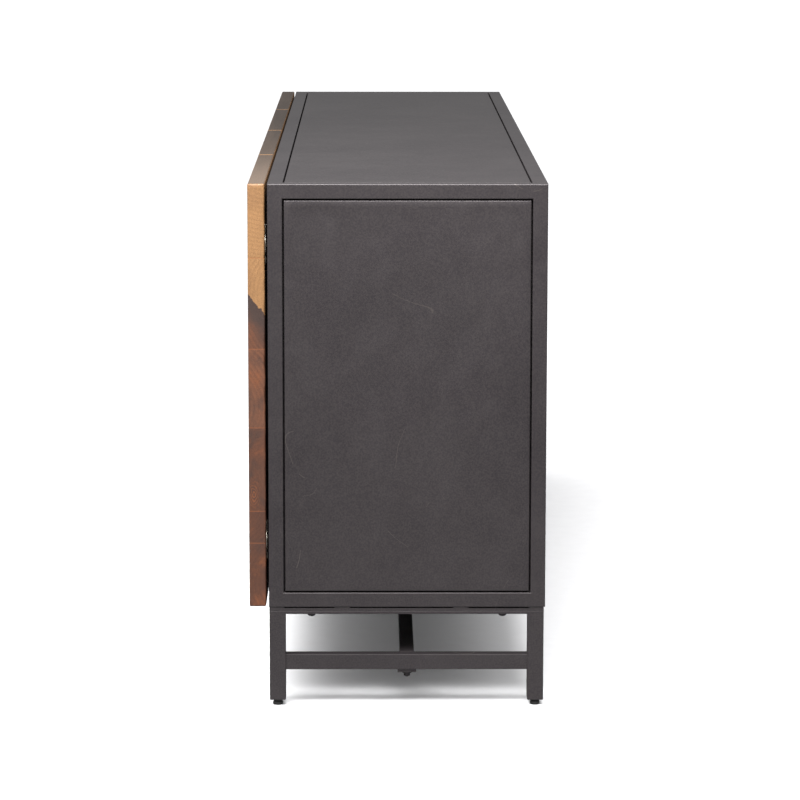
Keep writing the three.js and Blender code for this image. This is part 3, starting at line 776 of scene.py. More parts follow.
class ScrewTree:
    """A Geometry Nodes tree that sets a cross-slotted screw head on every vertex of a mesh."""

    def __init__(self, material: bpy.types.Material) -> None:
        """Builds the tree, with the screws' finish as its default."""
        sizes = {"Head Radius": 3.4 * MM, "Head Height": 1.4 * MM}
        graph, given = new_instancer("screw_heads", sizes, material)
        radius, tall = given["Head Radius"], given["Head Height"]
        head = graph.add("GeometryNodeMeshCone")
        head.inputs["Vertices"].default_value = 20
        graph.feed(head.inputs["Radius Bottom"], radius)
        graph.feed(head.inputs["Radius Top"], graph.math("MULTIPLY", radius, 0.62))
        graph.feed(head.inputs["Depth"], tall)
        cut = graph.add("GeometryNodeMeshBoolean", operation="DIFFERENCE")
        graph.feed(cut.inputs["Mesh 1"], head.outputs["Mesh"])
        for turn in (0, 1):
            graph.feed(cut.inputs["Mesh 2"], self.slot(graph, radius, tall, turn))
        facing = graph.add("GeometryNodeInputNamedAttribute", data_type="FLOAT_VECTOR")
        facing.inputs["Name"].default_value = "facing"
        turned = graph.add("FunctionNodeAlignRotationToVector", axis="Z")
        graph.feed(turned.inputs["Vector"], facing.outputs["Attribute"])
        spin = graph.add("FunctionNodeRandomValue", data_type="FLOAT")
        spin.inputs[3].default_value = math.pi
        spin.inputs["Seed"].default_value = 11
        local = graph.add("FunctionNodeAxisAngleToRotation")
        local.inputs["Axis"].default_value = (0.0, 0.0, 1.0)
        graph.feed(local.inputs["Angle"], spin.outputs[1])
        both = graph.add("FunctionNodeRotateRotation", rotation_space="LOCAL")
        graph.feed(both.inputs["Rotation"], turned.outputs[0])
        graph.feed(both.inputs["Rotate By"], local.outputs[0])
        spread = graph.add("GeometryNodeInstanceOnPoints")
        graph.feed(spread.inputs["Points"], given["Geometry"])
        graph.feed(spread.inputs["Instance"], cut.outputs["Mesh"])
        graph.feed(spread.inputs["Rotation"], both.outputs[0])
        put_out(graph, spread.outputs["Instances"], given["Finish"])
        self.tree = graph.tree

    @staticmethod
    def slot(graph: Graph, radius: object, tall: object, turn: int) -> bpy.types.NodeSocket:
        """One arm of the cross, as a block through the head's top."""
        across = graph.math("MULTIPLY", radius, 1.15)
        thin = graph.math("MULTIPLY", radius, 0.24)
        size = graph.add("ShaderNodeCombineXYZ")
        graph.feed(size.inputs[turn], across)
        graph.feed(size.inputs[1 - turn], thin)
        graph.feed(size.inputs[2], tall)
        cube = graph.add("GeometryNodeMeshCube")
        graph.feed(cube.inputs["Size"], size.outputs[0])
        lift = graph.add("ShaderNodeCombineXYZ")
        graph.feed(lift.inputs[2], graph.math("MULTIPLY", tall, 0.95 + 0.02 * turn))
        moved = graph.add("GeometryNodeTransform")
        graph.feed(moved.inputs["Geometry"], cube.outputs["Mesh"])
        graph.feed(moved.inputs["Translation"], lift.outputs[0])
        return moved.outputs[0]

    def place(self, name: str, spots: Sequence[tuple[Point, Point]], radius: float = 3.4 * MM,
              tall: float = 1.4 * MM) -> bpy.types.Object:
        """Screw heads at given spots, as one plain mesh.

        Args:
            name: the new piece's name.
            spots: (where the head's middle is, which way it faces) pairs.
            radius: radius of a head.
            tall: its height.

        Returns:
            The plain object.
        """
        mesh = bpy.data.meshes.new(name + "_spots")
        mesh.from_pydata([spot for spot, _ in spots], [], [])
        mesh.attributes.new("facing", "FLOAT_VECTOR", "POINT").data.foreach_set(
            "vector", [part for _, way in spots for part in way],
        )
        return apply_tree(mesh, self.tree, {"Head Radius": radius, "Head Height": tall}, name)


class WeldTree:
    """A Geometry Nodes tree that lays a rippled weld bead along every edge of a mesh."""

    def __init__(self, material: bpy.types.Material) -> None:
        """Builds the tree, with the bead's finish as its default."""
        sizes = {"Bead Radius": 1.5 * MM, "Spacing": 1.1 * MM}
        graph, given = new_instancer("weld_beads", sizes, material)
        curve = graph.add("GeometryNodeMeshToCurve")
        graph.feed(curve.inputs["Mesh"], given["Geometry"])
        steps = graph.add("GeometryNodeResampleCurve", mode="LENGTH")
        graph.feed(steps.inputs["Curve"], curve.outputs[0])
        graph.feed(steps.inputs["Length"], given["Spacing"])
        ripple = graph.add("GeometryNodeMeshUVSphere")
        ripple.inputs["Segments"].default_value = 10
        ripple.inputs["Rings"].default_value = 6
        graph.feed(ripple.inputs["Radius"], given["Bead Radius"])
        vary = graph.add("FunctionNodeRandomValue", data_type="FLOAT")
        vary.inputs[2].default_value = 0.82
        vary.inputs[3].default_value = 1.08
        vary.inputs["Seed"].default_value = 5
        spread = graph.add("GeometryNodeInstanceOnPoints")
        graph.feed(spread.inputs["Points"], steps.outputs[0])
        graph.feed(spread.inputs["Instance"], ripple.outputs["Mesh"])
        graph.feed(spread.inputs["Scale"], vary.outputs[1])
        put_out(graph, spread.outputs["Instances"], given["Finish"])
        self.tree = graph.tree

    def lay(self, name: str, runs: Sequence[tuple[Point, Point]],
            radius: float = 1.5 * MM) -> bpy.types.Object:
        """Beads along straight runs, as one plain mesh.

        Args:
            name: the new piece's name.
            runs: (start, end) of each bead.
            radius: a ripple's radius.

        Returns:
            The plain object.
        """
        mesh = bpy.data.meshes.new(name + "_runs")
        ends = [end for run in runs for end in run]
        mesh.from_pydata(ends, [(2 * i, 2 * i + 1) for i in range(len(runs))], [])
        return apply_tree(mesh, self.tree, {"Bead Radius": radius, "Spacing": radius * 0.75}, name)


def apply_tree(mesh: bpy.types.Mesh, tree: bpy.types.NodeTree, values: dict[str, float],
               name: str) -> bpy.types.Object:
    """Runs a Geometry Nodes tree on a mesh and keeps only the plain mesh it makes.

    Args:
        mesh: the points or edges.
        tree: the tree.
        values: its inputs by name.
        name: the new object's name.

    Returns:
        The plain object.
    """
    holder = bpy.data.objects.new(mesh.name, mesh)
    bpy.context.scene.collection.objects.link(holder)
    modifier = holder.modifiers.new("nodes", "NODES")
    modifier.node_group = tree
    sockets = {item.name: item.identifier for item in tree.interface.items_tree if item.in_out == "INPUT"}
    for label, value in values.items():
        modifier[sockets[label]] = value
    holder.update_tag()
    bpy.context.view_layer.update()
    return plain_copy(holder, name)


# ---- Sub-assemblies -----------------------------------------------------------------------


@dataclass
class FoldedPanel:
    """A sheet panel with its edges folded in, its flat face faintly dented by handling."""

    node: str
    axis: int
    outward: float
    sheet: float = 1.4 * MM
    fold: float = 1.0 * MM
    fold_steps: int = 3
    pitch: float = 9 * MM
    dents: Sequence[tuple[float, float, float, float]] = ()
    slack: float = 0.3 * MM

    def sag(self, u: float, v: float, width: float, tall: float) -> float:
        """How far the face lies behind its plane at a place given from the face's low corner."""
        seed = Vector((u * 3.1, v * 3.1, self.axis * 7.0 + self.outward))
        depth = self.slack * (0.5 + 0.5 * noise.noise(seed))
        depth += 0.12 * MM * (0.5 + 0.5 * noise.noise(seed * 4.3))
        for share_u, share_v, reach, deep in self.dents:
            away = math.hypot(u - share_u * width, v - share_v * tall) / reach
            depth += deep * math.exp(-away * away)
        edge = min(u, width - u, v, tall - v)
        return depth * min(1.0, max(0.0, edge / (14 * MM))) ** 2

    def build(self) -> bpy.types.Object:
        """Returns the panel as a closed shell in the node's own box."""
        low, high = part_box(self.node)
        first, second = [i for i in range(3) if i != self.axis]
        width, tall = high[first] - low[first], high[second] - low[second]
        face_at = high[self.axis] if self.outward > 0 else low[self.axis]
        depth = high[self.axis] - low[self.axis]
        loops = self.loops(width, tall, depth)
        shape = bmesh.new()
        grid: dict[tuple[int, int], bmesh.types.BMVert] = {}
        for i, (u, drop_u) in enumerate(loops[0]):
            for j, (v, drop_v) in enumerate(loops[1]):
                drop = max(drop_u, drop_v)
                if drop_u > self.fold and drop_v > self.fold:
                    continue
                spot = [0.0, 0.0, 0.0]
                spot[first], spot[second] = low[first] + u, low[second] + v
                flat = drop <= 0
                inner = self.sag(u, v, width, tall) if flat else 0.0
                spot[self.axis] = face_at - self.outward * (drop + inner)
                grid[i, j] = shape.verts.new(spot)
        for i in range(len(loops[0]) - 1):
            for j in range(len(loops[1]) - 1):
                keys = [(i, j), (i + 1, j), (i + 1, j + 1), (i, j + 1)]
                if all(key in grid for key in keys):
                    shape.faces.new([grid[key] for key in keys])
        bmesh.ops.remove_doubles(shape, verts=shape.verts, dist=1e-6)
        bmesh.ops.recalc_face_normals(shape, faces=shape.faces)
        self.face_outward(shape)
        mesh = bpy.data.meshes.new(self.node + "_sheet")
        shape.to_mesh(mesh)
        shape.free()
        made = bpy.data.objects.new(self.node + "_sheet", mesh)
        bpy.context.scene.collection.objects.link(made)
        thick = made.modifiers.new("sheet", "SOLIDIFY")
        thick.thickness = self.sheet
        thick.offset = -1.0
        made = plain_copy(made, self.node + "_sheet")
        made.data.polygons.foreach_set("use_smooth", [True] * len(made.data.polygons))
        made.data.set_sharp_from_angle(angle=math.radians(50))
        return made

    def face_outward(self, shape: bmesh.types.BMesh) -> None:
        """Turns all faces so that the panel's flat face looks outward."""
        widest = max(shape.faces, key=lambda face: face.calc_area())
        if widest.normal[self.axis] * self.outward < 0:
            bmesh.ops.reverse_faces(shape, faces=shape.faces)

    def loops(self, width: float, tall: float, depth: float) -> list[list[tuple[float, float]]]:
        """The grid's lines each way, as (place, how far below the face) pairs.

        Args:
            width: the face's extent one way.
            tall: its extent the other way.
            depth: how far the folded edges reach in.

        Returns:
            The two lists of lines.
        """
        result = []
        for extent in (width, tall):
            low_side = [(0.0, depth), *quarter_arc(self.fold, self.fold_steps)]
            count = max(2, round((extent - 2 * self.fold) / self.pitch))
            inside = [(self.fold + (extent - 2 * self.fold) * k / count, 0.0) for k in range(1, count)]
            high_side = [(extent - u, drop) for u, drop in reversed(low_side)]
            result.append([*low_side, *inside, *high_side])
        return result


@dataclass
class CaseShell:
    """The welded frames, rails and folded panels of the case."""

    shop: Shop
    screws: ScrewTree
    welds: WeldTree
    end_dents: Sequence[tuple[float, float, float, float]] = (
        (0.13, 0.93, 0.05, 0.8 * MM), (0.09, 0.97, 0.03, 0.5 * MM), (0.9, 0.95, 0.045, 0.5 * MM),
        (0.68, 0.62, 0.12, 0.35 * MM), (0.3, 0.4, 0.14, 0.3 * MM), (0.24, 0.08, 0.03, 0.3 * MM),
    )
    top_dents: Sequence[tuple[float, float, float, float]] = (
        (0.8, 0.5, 0.05, 0.3 * MM), (0.35, 0.3, 0.12, 0.3 * MM), (0.62, 0.7, 0.09, 0.25 * MM),
    )
    screw_inset: float = 11 * MM
    screw_pitch: float = 0.19
    lip_width: float = 14 * MM
    lip_sheet: float = 2.6 * MM
    lip_gap: float = 0.3 * MM
    tube: float = 23 * MM
    bead_sink: float = 0.6 * MM

    def build(self) -> None:
        """Dresses the frames and makes the panels, their screws and the welds."""
        frames = ["end_frame_left", "end_frame_right", "centre_frame", "front_top_rail", "front_bottom_rail",
                  "rear_top_rail", "rear_bottom_rail"]
        for node in frames:
            self.shop.dress(node, Slot.GUNMETAL)
        panels = [
            FoldedPanel("end_panel_left", 0, -1.0, dents=self.end_dents[3:]),
            FoldedPanel("end_panel_right", 0, 1.0, dents=self.end_dents),
            FoldedPanel("top_panel", 2, 1.0, dents=self.top_dents, pitch=14 * MM),
            FoldedPanel("bottom_panel", 2, 1.0, pitch=24 * MM),
            FoldedPanel("back_panel", 1, 1.0, pitch=20 * MM, dents=self.top_dents),
        ]
        for panel in panels:
            self.shop.fit(panel.build(), "case", Slot.GUNMETAL, [panel.node])
        self.back_lips()
        self.back_screws()
        self.corner_welds()

    def back_lips(self) -> None:
        """Strips that close the gap at the back panel's sides, above and below each shelf's ledge."""
        panel_low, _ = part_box("back_panel")
        y1 = panel_low.y - self.lip_gap
        y0 = y1 - self.lip_sheet
        _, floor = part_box("rear_bottom_rail")
        ceiling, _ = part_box("rear_top_rail")
        shape = bmesh.new()
        for end, side in zip(ENDS, (-1.0, 1.0)):
            frame_low, frame_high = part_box(f"end_frame_{end}")
            inner = frame_low.x if side > 0 else frame_high.x
            x0, x1 = sorted((inner - side * 0.2 * MM, inner - side * self.lip_width))
            ledge_low, ledge_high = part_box(f"shelf_ledge_{end}_outer")
            for z0, z1 in ((floor.z, ledge_low.z), (ledge_high.z, ceiling.z)):
                add_block(shape, (x0, y0, z0 + self.lip_gap), (x1, y1, z1 - self.lip_gap), 0.3 * MM)
        self.shop.fit(object_from("back_lips", shape), "case", Slot.GUNMETAL)

    def back_screws(self) -> None:
        """Screws round the back panel's edge."""
        low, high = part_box("back_panel")
        y = high.y - 0.9 * MM
        x0, x1 = low.x + self.screw_inset, high.x - self.screw_inset
        z0, z1 = low.z + self.screw_inset, high.z - self.screw_inset
        across = round((x1 - x0) / self.screw_pitch)
        up = round((z1 - z0) / self.screw_pitch)
        spots = [(x0 + (x1 - x0) * i / across, z) for i in range(across + 1) for z in (z0, z1)]
        spots += [(x, z0 + (z1 - z0) * i / up) for i in range(1, up) for x in (x0, x1)]
        heads = self.screws.place("back_panel_screws", [((x, y, z), (0, 1, 0)) for x, z in spots],
                                  radius=2.6 * MM, tall=0.8 * MM)
        self.shop.fit(heads, "case", Slot.BOLTS)

    def corner_welds(self) -> None:
        """Beads on the inside of the case where the rails meet the end frames."""
        runs = []
        for rail in ("front_top_rail", "rear_top_rail", "front_bottom_rail", "rear_bottom_rail"):
            low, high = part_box(rail)
            inner_z = high.z - self.tube if "top" in rail else low.z + self.tube
            shift = -self.bead_sink if "top" in rail else self.bead_sink
            y0, y1 = (low.y, low.y + self.tube) if "front" in rail else (high.y - self.tube, high.y)
            for x in (low.x, high.x):
                at = x + math.copysign(self.bead_sink, -x)
                runs.append(((at, y0 + 3 * MM, inner_z + shift), (at, y1 - 3 * MM, inner_z + shift)))
        self.shop.fit(self.welds.lay("case_welds", runs), "case", Slot.GUNMETAL)


@dataclass
class Interior:
    """Partition, shelves and the angle strips that carry them."""

    shop: Shop
    screws: ScrewTree
    edge: float = 1.2 * MM

    def build(self) -> None:
        """Dresses the boards and ledges and adds the ledges' screws."""
        self.board("partition_panel", (0.03, 0.4, 0.1))
        for index, end in enumerate(ENDS):
            self.board(f"shelf_{end}", (0.0, 0.06 - 0.1 * index, -0.05))
            spots: list[tuple[Point, Point]] = []
            for place in ("inner", "outer"):
                node = f"shelf_ledge_{end}_{place}"
                self.shop.dress(node, Slot.HARDWARE, 0.4 * MM)
                low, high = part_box(node)
                side = 1.0 if (end == "right") == (place == "inner") else -1.0
                face = (low.x + 3 * MM) if side > 0 else (high.x - 3 * MM)
                for share in (0.03, 0.97):
                    y = low.y + (high.y - low.y) * share
                    spots.append(((face, y, low.z + 8 * MM), (side, 0, 0)))
            self.shop.fit(self.screws.place(f"ledge_screws_{end}", spots), "case", Slot.HARDWARE)

    def board(self, node: str, pith: Point) -> None:
        """Replaces a plain board by one with eased edges and its own figure."""
        low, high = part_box(node)
        shape = bmesh.new()
        add_block(shape, low, high, self.edge, 3)
        made = object_from(node + "_board", shape, 60)
        set_figure(made, lambda centre, normal: (pith, 0.55, 0.0, 0.0))
        self.shop.fit(made, "case", Slot.INSIDE_WOOD, [node])


def set_figure(piece: bpy.types.Object, figure: Callable[[Vector, Vector], Figure]) -> None:
    """Writes each face's pith, tone, joint and edge-face mark, which the board finish reads.

    Args:
        piece: a wood piece.
        figure: gives (pith, tone, joint, edge face) from a face's middle and its normal.
    """
    mesh = piece.data
    rows = [figure(face.center, face.normal) for face in mesh.polygons]
    piths = [part for row in rows for part in row[0]]
    mesh.attributes.new("pith", "FLOAT_VECTOR", "FACE").data.foreach_set("vector", piths)
    for index, name in enumerate(("tone", "joint", "edge_face"), 1):
        mesh.attributes.new(name, "FLOAT", "FACE").data.foreach_set("value", [row[index] for row in rows])


@dataclass(frozen=True)
class Board:
    """One of the boards a door is glued up from, the same across all four doors."""

    top: float
    pith: Point
    tone: float


@dataclass
class Door:
    """An overlay door of horizontal boards, with bored cups and a rough back edge at its ends."""

    number: int
    shop: Shop
    boards: Sequence[Board]
    edge_round: float = 2.4 * MM
    edge_steps: int = 4
    groove: float = 0.35 * MM
    groove_half: float = 0.6 * MM
    chip_depth: float = 1.5 * MM
    chip_reach: float = 10 * MM
    rise: float = 5.5 * MM
    stride: float = 36 * MM
    bore: float = 17.8 * MM
    bore_depth: float = 12.4 * MM
    bore_past: float = 30 * MM

    @property
    def node(self) -> str:
        """The door's plain node."""
        return f"door_{self.number}"

    @property
    def body(self) -> str:
        """The body the door moves with."""
        return f"door_{self.number}_leaf"

    def heights(self, low: float, high: float) -> list[tuple[float, float]]:
        """The outline's heights, each with how far both faces draw in there.

        Args:
            low: the door's lower edge.
            high: its upper edge.

        Returns:
            (height, inset) pairs from bottom to top.
        """
        ends = quarter_arc(self.edge_round, self.edge_steps)
        pairs = [(low + rise, inset) for rise, inset in ends] + [(high - rise, inset) for rise, inset in ends]
        joints = [board.top for board in self.boards[:-1]]
        for joint in joints:
            pairs += [(joint - self.groove_half, 0.0), (joint, self.groove), (joint + self.groove_half, 0.0)]
        start, stop = low + self.edge_round, high - self.edge_round
        count = round((stop - start) / self.rise)
        for k in range(1, count):
            height = start + (stop - start) * k / count
            if all(abs(height - joint) > 2 * self.groove_half for joint in joints):
                pairs.append((height, 0.0))
        return sorted(pairs)

    def stations(self, low: float, high: float) -> list[tuple[float, float]]:
        """Places along the door, each with how far its whole outline draws in there."""
        near = [*quarter_arc(self.edge_round, self.edge_steps), (6 * MM, 0.0), (self.chip_reach, 0.0)]
        span = high - low - 2 * self.chip_reach
        count = round(span / self.stride)
        inside = [(low + self.chip_reach + span * k / count, 0.0) for k in range(1, count)]
        return [
            *[(low + x, inset) for x, inset in near],
            *inside,
            *[(high - x, inset) for x, inset in reversed(near)],
        ]

    def chip(self, height: float, away: float) -> float:
        """How much is missing from the back edge at a height and a distance from the door's end."""
        fade = max(0.0, 1.0 - away / self.chip_reach) ** 1.5
        seed = Vector((self.number * 3.7, 0.0, height * 38.0))
        rough = max(0.0, noise.noise(seed) + 0.18) + 0.45 * max(0.0, noise.noise(seed * 3.1))
        return self.chip_depth * min(1.0, rough) * fade

    def build(self) -> None:
        """Makes the slab, bores it for its hinge cups and sets its figure."""
        low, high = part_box(self.node)
        shape = bmesh.new()
        rows: list[list[tuple[bmesh.types.BMVert, bmesh.types.BMVert]]] = []
        for x, draw in self.stations(low.x, high.x):
            away = min(x - low.x, high.x - x)
            row = []
            for z, inset in self.heights(low.z, high.z):
                plane = 0.12 * MM * (1 + noise.noise(Vector((x * 9, self.number, z * 14))))
                plane *= min(1.0, away / (20 * MM))
                front = low.y + inset + draw + plane
                back = high.y - inset - draw - self.chip(z, away)
                at = min(max(z, low.z + draw), high.z - draw)
                row.append((shape.verts.new((x, front, at)), shape.verts.new((x, back, at))))
            rows.append(row)
        for row, following in zip(rows, rows[1:]):
            for k in range(len(row) - 1):
                shape.faces.new((row[k][0], row[k + 1][0], following[k + 1][0], following[k][0]))
                shape.faces.new((row[k][1], following[k][1], following[k + 1][1], row[k + 1][1]))
            for k in (0, -1):
                shape.faces.new((row[k][0], following[k][0], following[k][1], row[k][1]))
        for row in (rows[0], rows[-1]):
            for k in range(len(row) - 1):
                shape.faces.new((row[k][0], row[k + 1][0], row[k + 1][1], row[k][1]))
        bmesh.ops.remove_doubles(shape, verts=shape.verts, dist=2e-6)
        bmesh.ops.dissolve_degenerate(shape, edges=shape.edges, dist=2e-6)
        slab = object_from(f"{self.node}_slab", shape, 38)
        slab = self.bored(slab, high.y)
        set_figure(slab, lambda centre, normal: self.figure(centre, normal, low, high))
        self.shop.fit(slab, self.body, Slot.DOOR_WOOD, [self.node])

    def bored(self, slab: bpy.types.Object, back: float) -> bpy.types.Object:
        """The slab with its two hinge bores cut from its back face."""
        cutter_shape = bmesh.new()
        outline = [(0, 0), (self.bore, 0), (self.bore, self.bore_past), (0, self.bore_past)]
        for level in LEVELS:
            cup_low, cup_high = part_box(f"hinge_cup_{self.number}_{level}")
            centre = ((cup_low.x + cup_high.x) / 2, back - self.bore_depth, (cup_low.z + cup_high.z) / 2)
            add_turned(cutter_shape, outline, centre, Axis.Y, 48)
        cutter = object_from(f"{self.node}_bores", cutter_shape)
        cut = slab.modifiers.new("bores", "BOOLEAN")
        cut.object = cutter
        cut.operation = "DIFFERENCE"
        cut.solver = "EXACT"
        name = slab.name
        slab.name = name + "_raw"
        result = plain_copy(slab, name)
        bpy.data.objects.remove(cutter)
        return result

    def figure(self, centre: Vector, normal: Vector, low: Vector, high: Vector) -> Figure:
        """A face's board, with whether it lies in a joint or on a dark upper or lower edge.

        Args:
            centre: the face's middle.
            normal: its normal.
            low: the door's lowest corner.
            high: its highest corner.

        Returns:
            The pith, tone, joint and edge-face mark of the face.
        """
        board = next((b for b in self.boards if centre.z <= b.top), self.boards[-1])
        joint = min(abs(centre.z - b.top) for b in self.boards[:-1])
        from_end = min(centre.x - low.x, high.x - centre.x)
        from_edge = min(centre.z - low.z, high.z - centre.z)
        # Top and bottom faces by the long edges take the dark edge colour and its painted sheen; faces by the
        # door's ends are left out, so plain wood shows as a lighter line at each seam.
        on_edge_face = abs(normal.z) > 0.6 and from_edge < self.edge_round and from_end > self.edge_round
        return board.pith, board.tone, float(joint < self.groove_half), float(on_edge_face)


@dataclass
class ConcealedHinge:
    """A cup hinge: cup and flange in the door, plate and adjustable arm on the post, links between."""

    door: int
    level: str
    shop: Shop
    screws: ScrewTree
    link_bow: float = 2.0 * MM
    link_steps: int = 14

    def build(self) -> None:
        """Makes the hinge's fine pieces."""
        arm_low, arm_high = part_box(f"hinge_arm_{self.door}_{self.level}")
        cup_low, cup_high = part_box(f"hinge_cup_{self.door}_{self.level}")
        side = 1.0 if (cup_low.x + cup_high.x) < (arm_low.x + arm_high.x) else -1.0
        self.cup(cup_low, cup_high)
        self.arm(arm_low, arm_high)
        self.link(cup_low, cup_high, arm_low, arm_high, side)

    def label(self, part: str) -> str:
        """A piece's name."""
        return f"{part}_{self.door}_{self.level}"

    def cup(self, low: Vector, high: Vector) -> None:
        """The pressed cup, its flange and the two screws in the flange."""
        x, z = (low.x + high.x) / 2, (low.z + high.z) / 2
        shape = bmesh.new()
        rim_y, floor_y = high.y, low.y
        radius = 17.5 * MM
        lip = radius + 1.9 * MM
        outline = rounded_outline([
            (0, floor_y), (radius, floor_y), (radius, rim_y - 1.2 * MM), (lip, rim_y - 1.2 * MM),
            (lip, rim_y), (radius - 1.1 * MM, rim_y), (radius - 1.4 * MM, floor_y + 1 * MM),
            (0, floor_y + 1 * MM),
        ], 0.8 * MM)
        add_turned(shape, outline, (x, 0, z), Axis.Y, 44)
        for way in (-1, 1):
            tip = z + way * 30 * MM
            root = z + way * 18.6 * MM
            add_block(shape, (x - 6.5 * MM, rim_y - 1.15 * MM, min(tip, root)),
                      (x + 6.5 * MM, rim_y - 0.05 * MM, max(tip, root)), 0.4 * MM)
        piece = object_from(self.label("cup"), shape)
        self.shop.fit(piece, f"door_{self.door}_leaf", Slot.HARDWARE, [f"hinge_cup_{self.door}_{self.level}"])
        spots = [((x, rim_y - 0.5 * MM, z + way * 24.5 * MM), (0, 1, 0)) for way in (-1, 1)]
        heads = self.screws.place(self.label("cup_screws"), spots, 3.6 * MM, 1.0 * MM)
        self.shop.fit(heads, f"door_{self.door}_leaf", Slot.HARDWARE)

    def arm(self, low: Vector, high: Vector) -> None:
        """The plate on the post and the channel arm on it, with their screws."""
        z = (low.z + high.z) / 2
        outward = 1.0 if self.door in (1, 3) else -1.0
        post = low.x if outward > 0 else high.x
        shape = bmesh.new()

        def span(near: float, far: float) -> tuple[float, float]:
            """Two distances from the post's face as an ordered pair along X."""
            ends = (post + outward * near, post + outward * far)
            return min(ends), max(ends)

        plate_y = (low.y + 3 * MM, low.y + 22 * MM)
        x0, x1 = span(0, 2.2 * MM)
        add_block(shape, (x0, plate_y[0], z - 24 * MM), (x1, plate_y[1], z + 24 * MM), 0.6 * MM)
        x0, x1 = span(2.0 * MM, 6.0 * MM)
        add_block(shape, (x0, low.y + 4 * MM, z - 7.5 * MM), (x1, high.y - 3 * MM, z + 7.5 * MM), 0.8 * MM)
        x0, x1 = span(5.0 * MM, 12.6 * MM)
        for way in (-1, 1):
            wall = sorted((z + way * 8.2 * MM, z + way * 9.8 * MM))
            add_block(shape, (x0, low.y, wall[0]), (x1, high.y, wall[1]), 0.5 * MM)
        x0, x1 = span(12.2 * MM, 14.0 * MM)
        add_block(shape, (x0, low.y + 9 * MM, z - 9.8 * MM), (x1, high.y, z + 9.8 * MM), 0.7 * MM)
        pin, pin_length = 1.9 * MM, 20 * MM
        pin_outline = rounded_outline([(0, 0), (pin, 0), (pin, pin_length), (0, pin_length)], 0.4 * MM)
        x0, x1 = span(5.2 * MM, 13.2 * MM)
        for y in (low.y + 3.4 * MM, low.y + 8.0 * MM):
            centre = ((x0 + x1) / 2 + outward * 0.5 * MM, y, z - pin_length / 2)
            add_turned(shape, pin_outline, centre, Axis.Z, 20)
        piece = object_from(self.label("arm"), shape)
        self.shop.fit(piece, "case", Slot.HARDWARE, [f"hinge_arm_{self.door}_{self.level}"])
        top = post + outward * 13.6 * MM
        face = post + outward * 2.1 * MM
        middle = (plate_y[0] + plate_y[1]) / 2
        spots = [((top, low.y + share * MM, z), (outward, 0, 0)) for share in (22, 38)]
        spots += [((face, middle, z + way * 17.5 * MM), (outward, 0, 0)) for way in (-1, 1)]
        heads = self.screws.place(self.label("arm_screws"), spots, 3.0 * MM, 1.1 * MM)
        self.shop.fit(heads, "case", Slot.HARDWARE)

    def link(self, cup_low: Vector, cup_high: Vector, arm_low: Vector, arm_high: Vector, side: float) -> None:
        """The two curved links that reach from arm to cup, made in place and set on no body."""
        z = (cup_low.z + cup_high.z) / 2
        nose_x = (arm_low.x + arm_high.x) / 2
        cup_x = (cup_low.x + cup_high.x) / 2
        shape = bmesh.new()
        rim = cup_high.y
        start, stop = rim + 5.2 * MM, cup_low.y + 3.5 * MM
        around = ((-1, -1), (1, -1), (1, 1), (-1, 1))
        for x, thick, half in ((nose_x, 1.6 * MM, 6.6 * MM), ((nose_x + cup_x) / 2, 1.4 * MM, 5.4 * MM)):
            rows = []
            for k in range(self.link_steps + 1):
                share = k / self.link_steps
                y = start + (stop - start) * share
                middle = x + math.sin(share * math.pi) * self.link_bow * side
                corners = [(middle + sx * thick / 2, y, z + sz * half) for sx, sz in around]
                rows.append([shape.verts.new(corner) for corner in corners])
            for row, following in zip(rows, rows[1:]):
                for i in range(4):
                    j = (i + 1) % 4
                    shape.faces.new((row[i], row[j], following[j], following[i]))
            shape.faces.new(rows[0])
            shape.faces.new(rows[-1])
        piece = object_from(self.label("links"), shape)
        self.shop.paint(piece, Slot.HARDWARE)
        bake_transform(piece)
        self.shop.count += 1


@dataclass
class PushLatch:
    """A twin push latch: a moulded body under the rail and a plunger for each of two doors."""

    end: str
    doors: tuple[int, int]
    shop: Shop
    screws: ScrewTree

    def build(self) -> None:
        """Makes the body and its screws, and the plungers."""
        self.body()
        for door in self.doors:
            self.plunger(door)

    def body(self) -> None:
        """The moulded body, with eased edges and two fixing screws."""
        low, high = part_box(f"latch_{self.end}")
        self.shop.dress(f"latch_{self.end}", Slot.PLASTIC, 0.8 * MM)
        x = (low.x + high.x) / 2
        spots = [((x, low.y + share, low.z), (0, 0, -1)) for share in (10 * MM, 60 * MM)]
        heads = self.screws.place(f"latch_screws_{self.end}", spots, 3.0 * MM, 1.2 * MM)
        self.shop.fit(heads, "case", Slot.HARDWARE)

    def plunger(self, door: int) -> None:
        """A plunger with a domed bumper tip."""
        low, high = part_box(f"plunger_{door}")
        centre = ((low.x + high.x) / 2, 0, (low.z + high.z) / 2)
        tip, rod = (high.x - low.x) / 2, 4 * MM
        outline = rounded_outline([
            (0, low.y), (tip, low.y + 0.2 * MM), (tip, low.y + 3.4 * MM), (rod + 0.6 * MM, low.y + 4.2 * MM),
            (rod, low.y + 4.2 * MM), (rod, high.y), (0, high.y),
        ], 0.7 * MM)
        shape = bmesh.new()
        add_turned(shape, outline, centre, Axis.Y, 36)
        piece = object_from(f"plunger_{door}_turned", shape)
        self.shop.fit(piece, f"plunger_{door}_rod", Slot.PLASTIC, [f"plunger_{door}"])


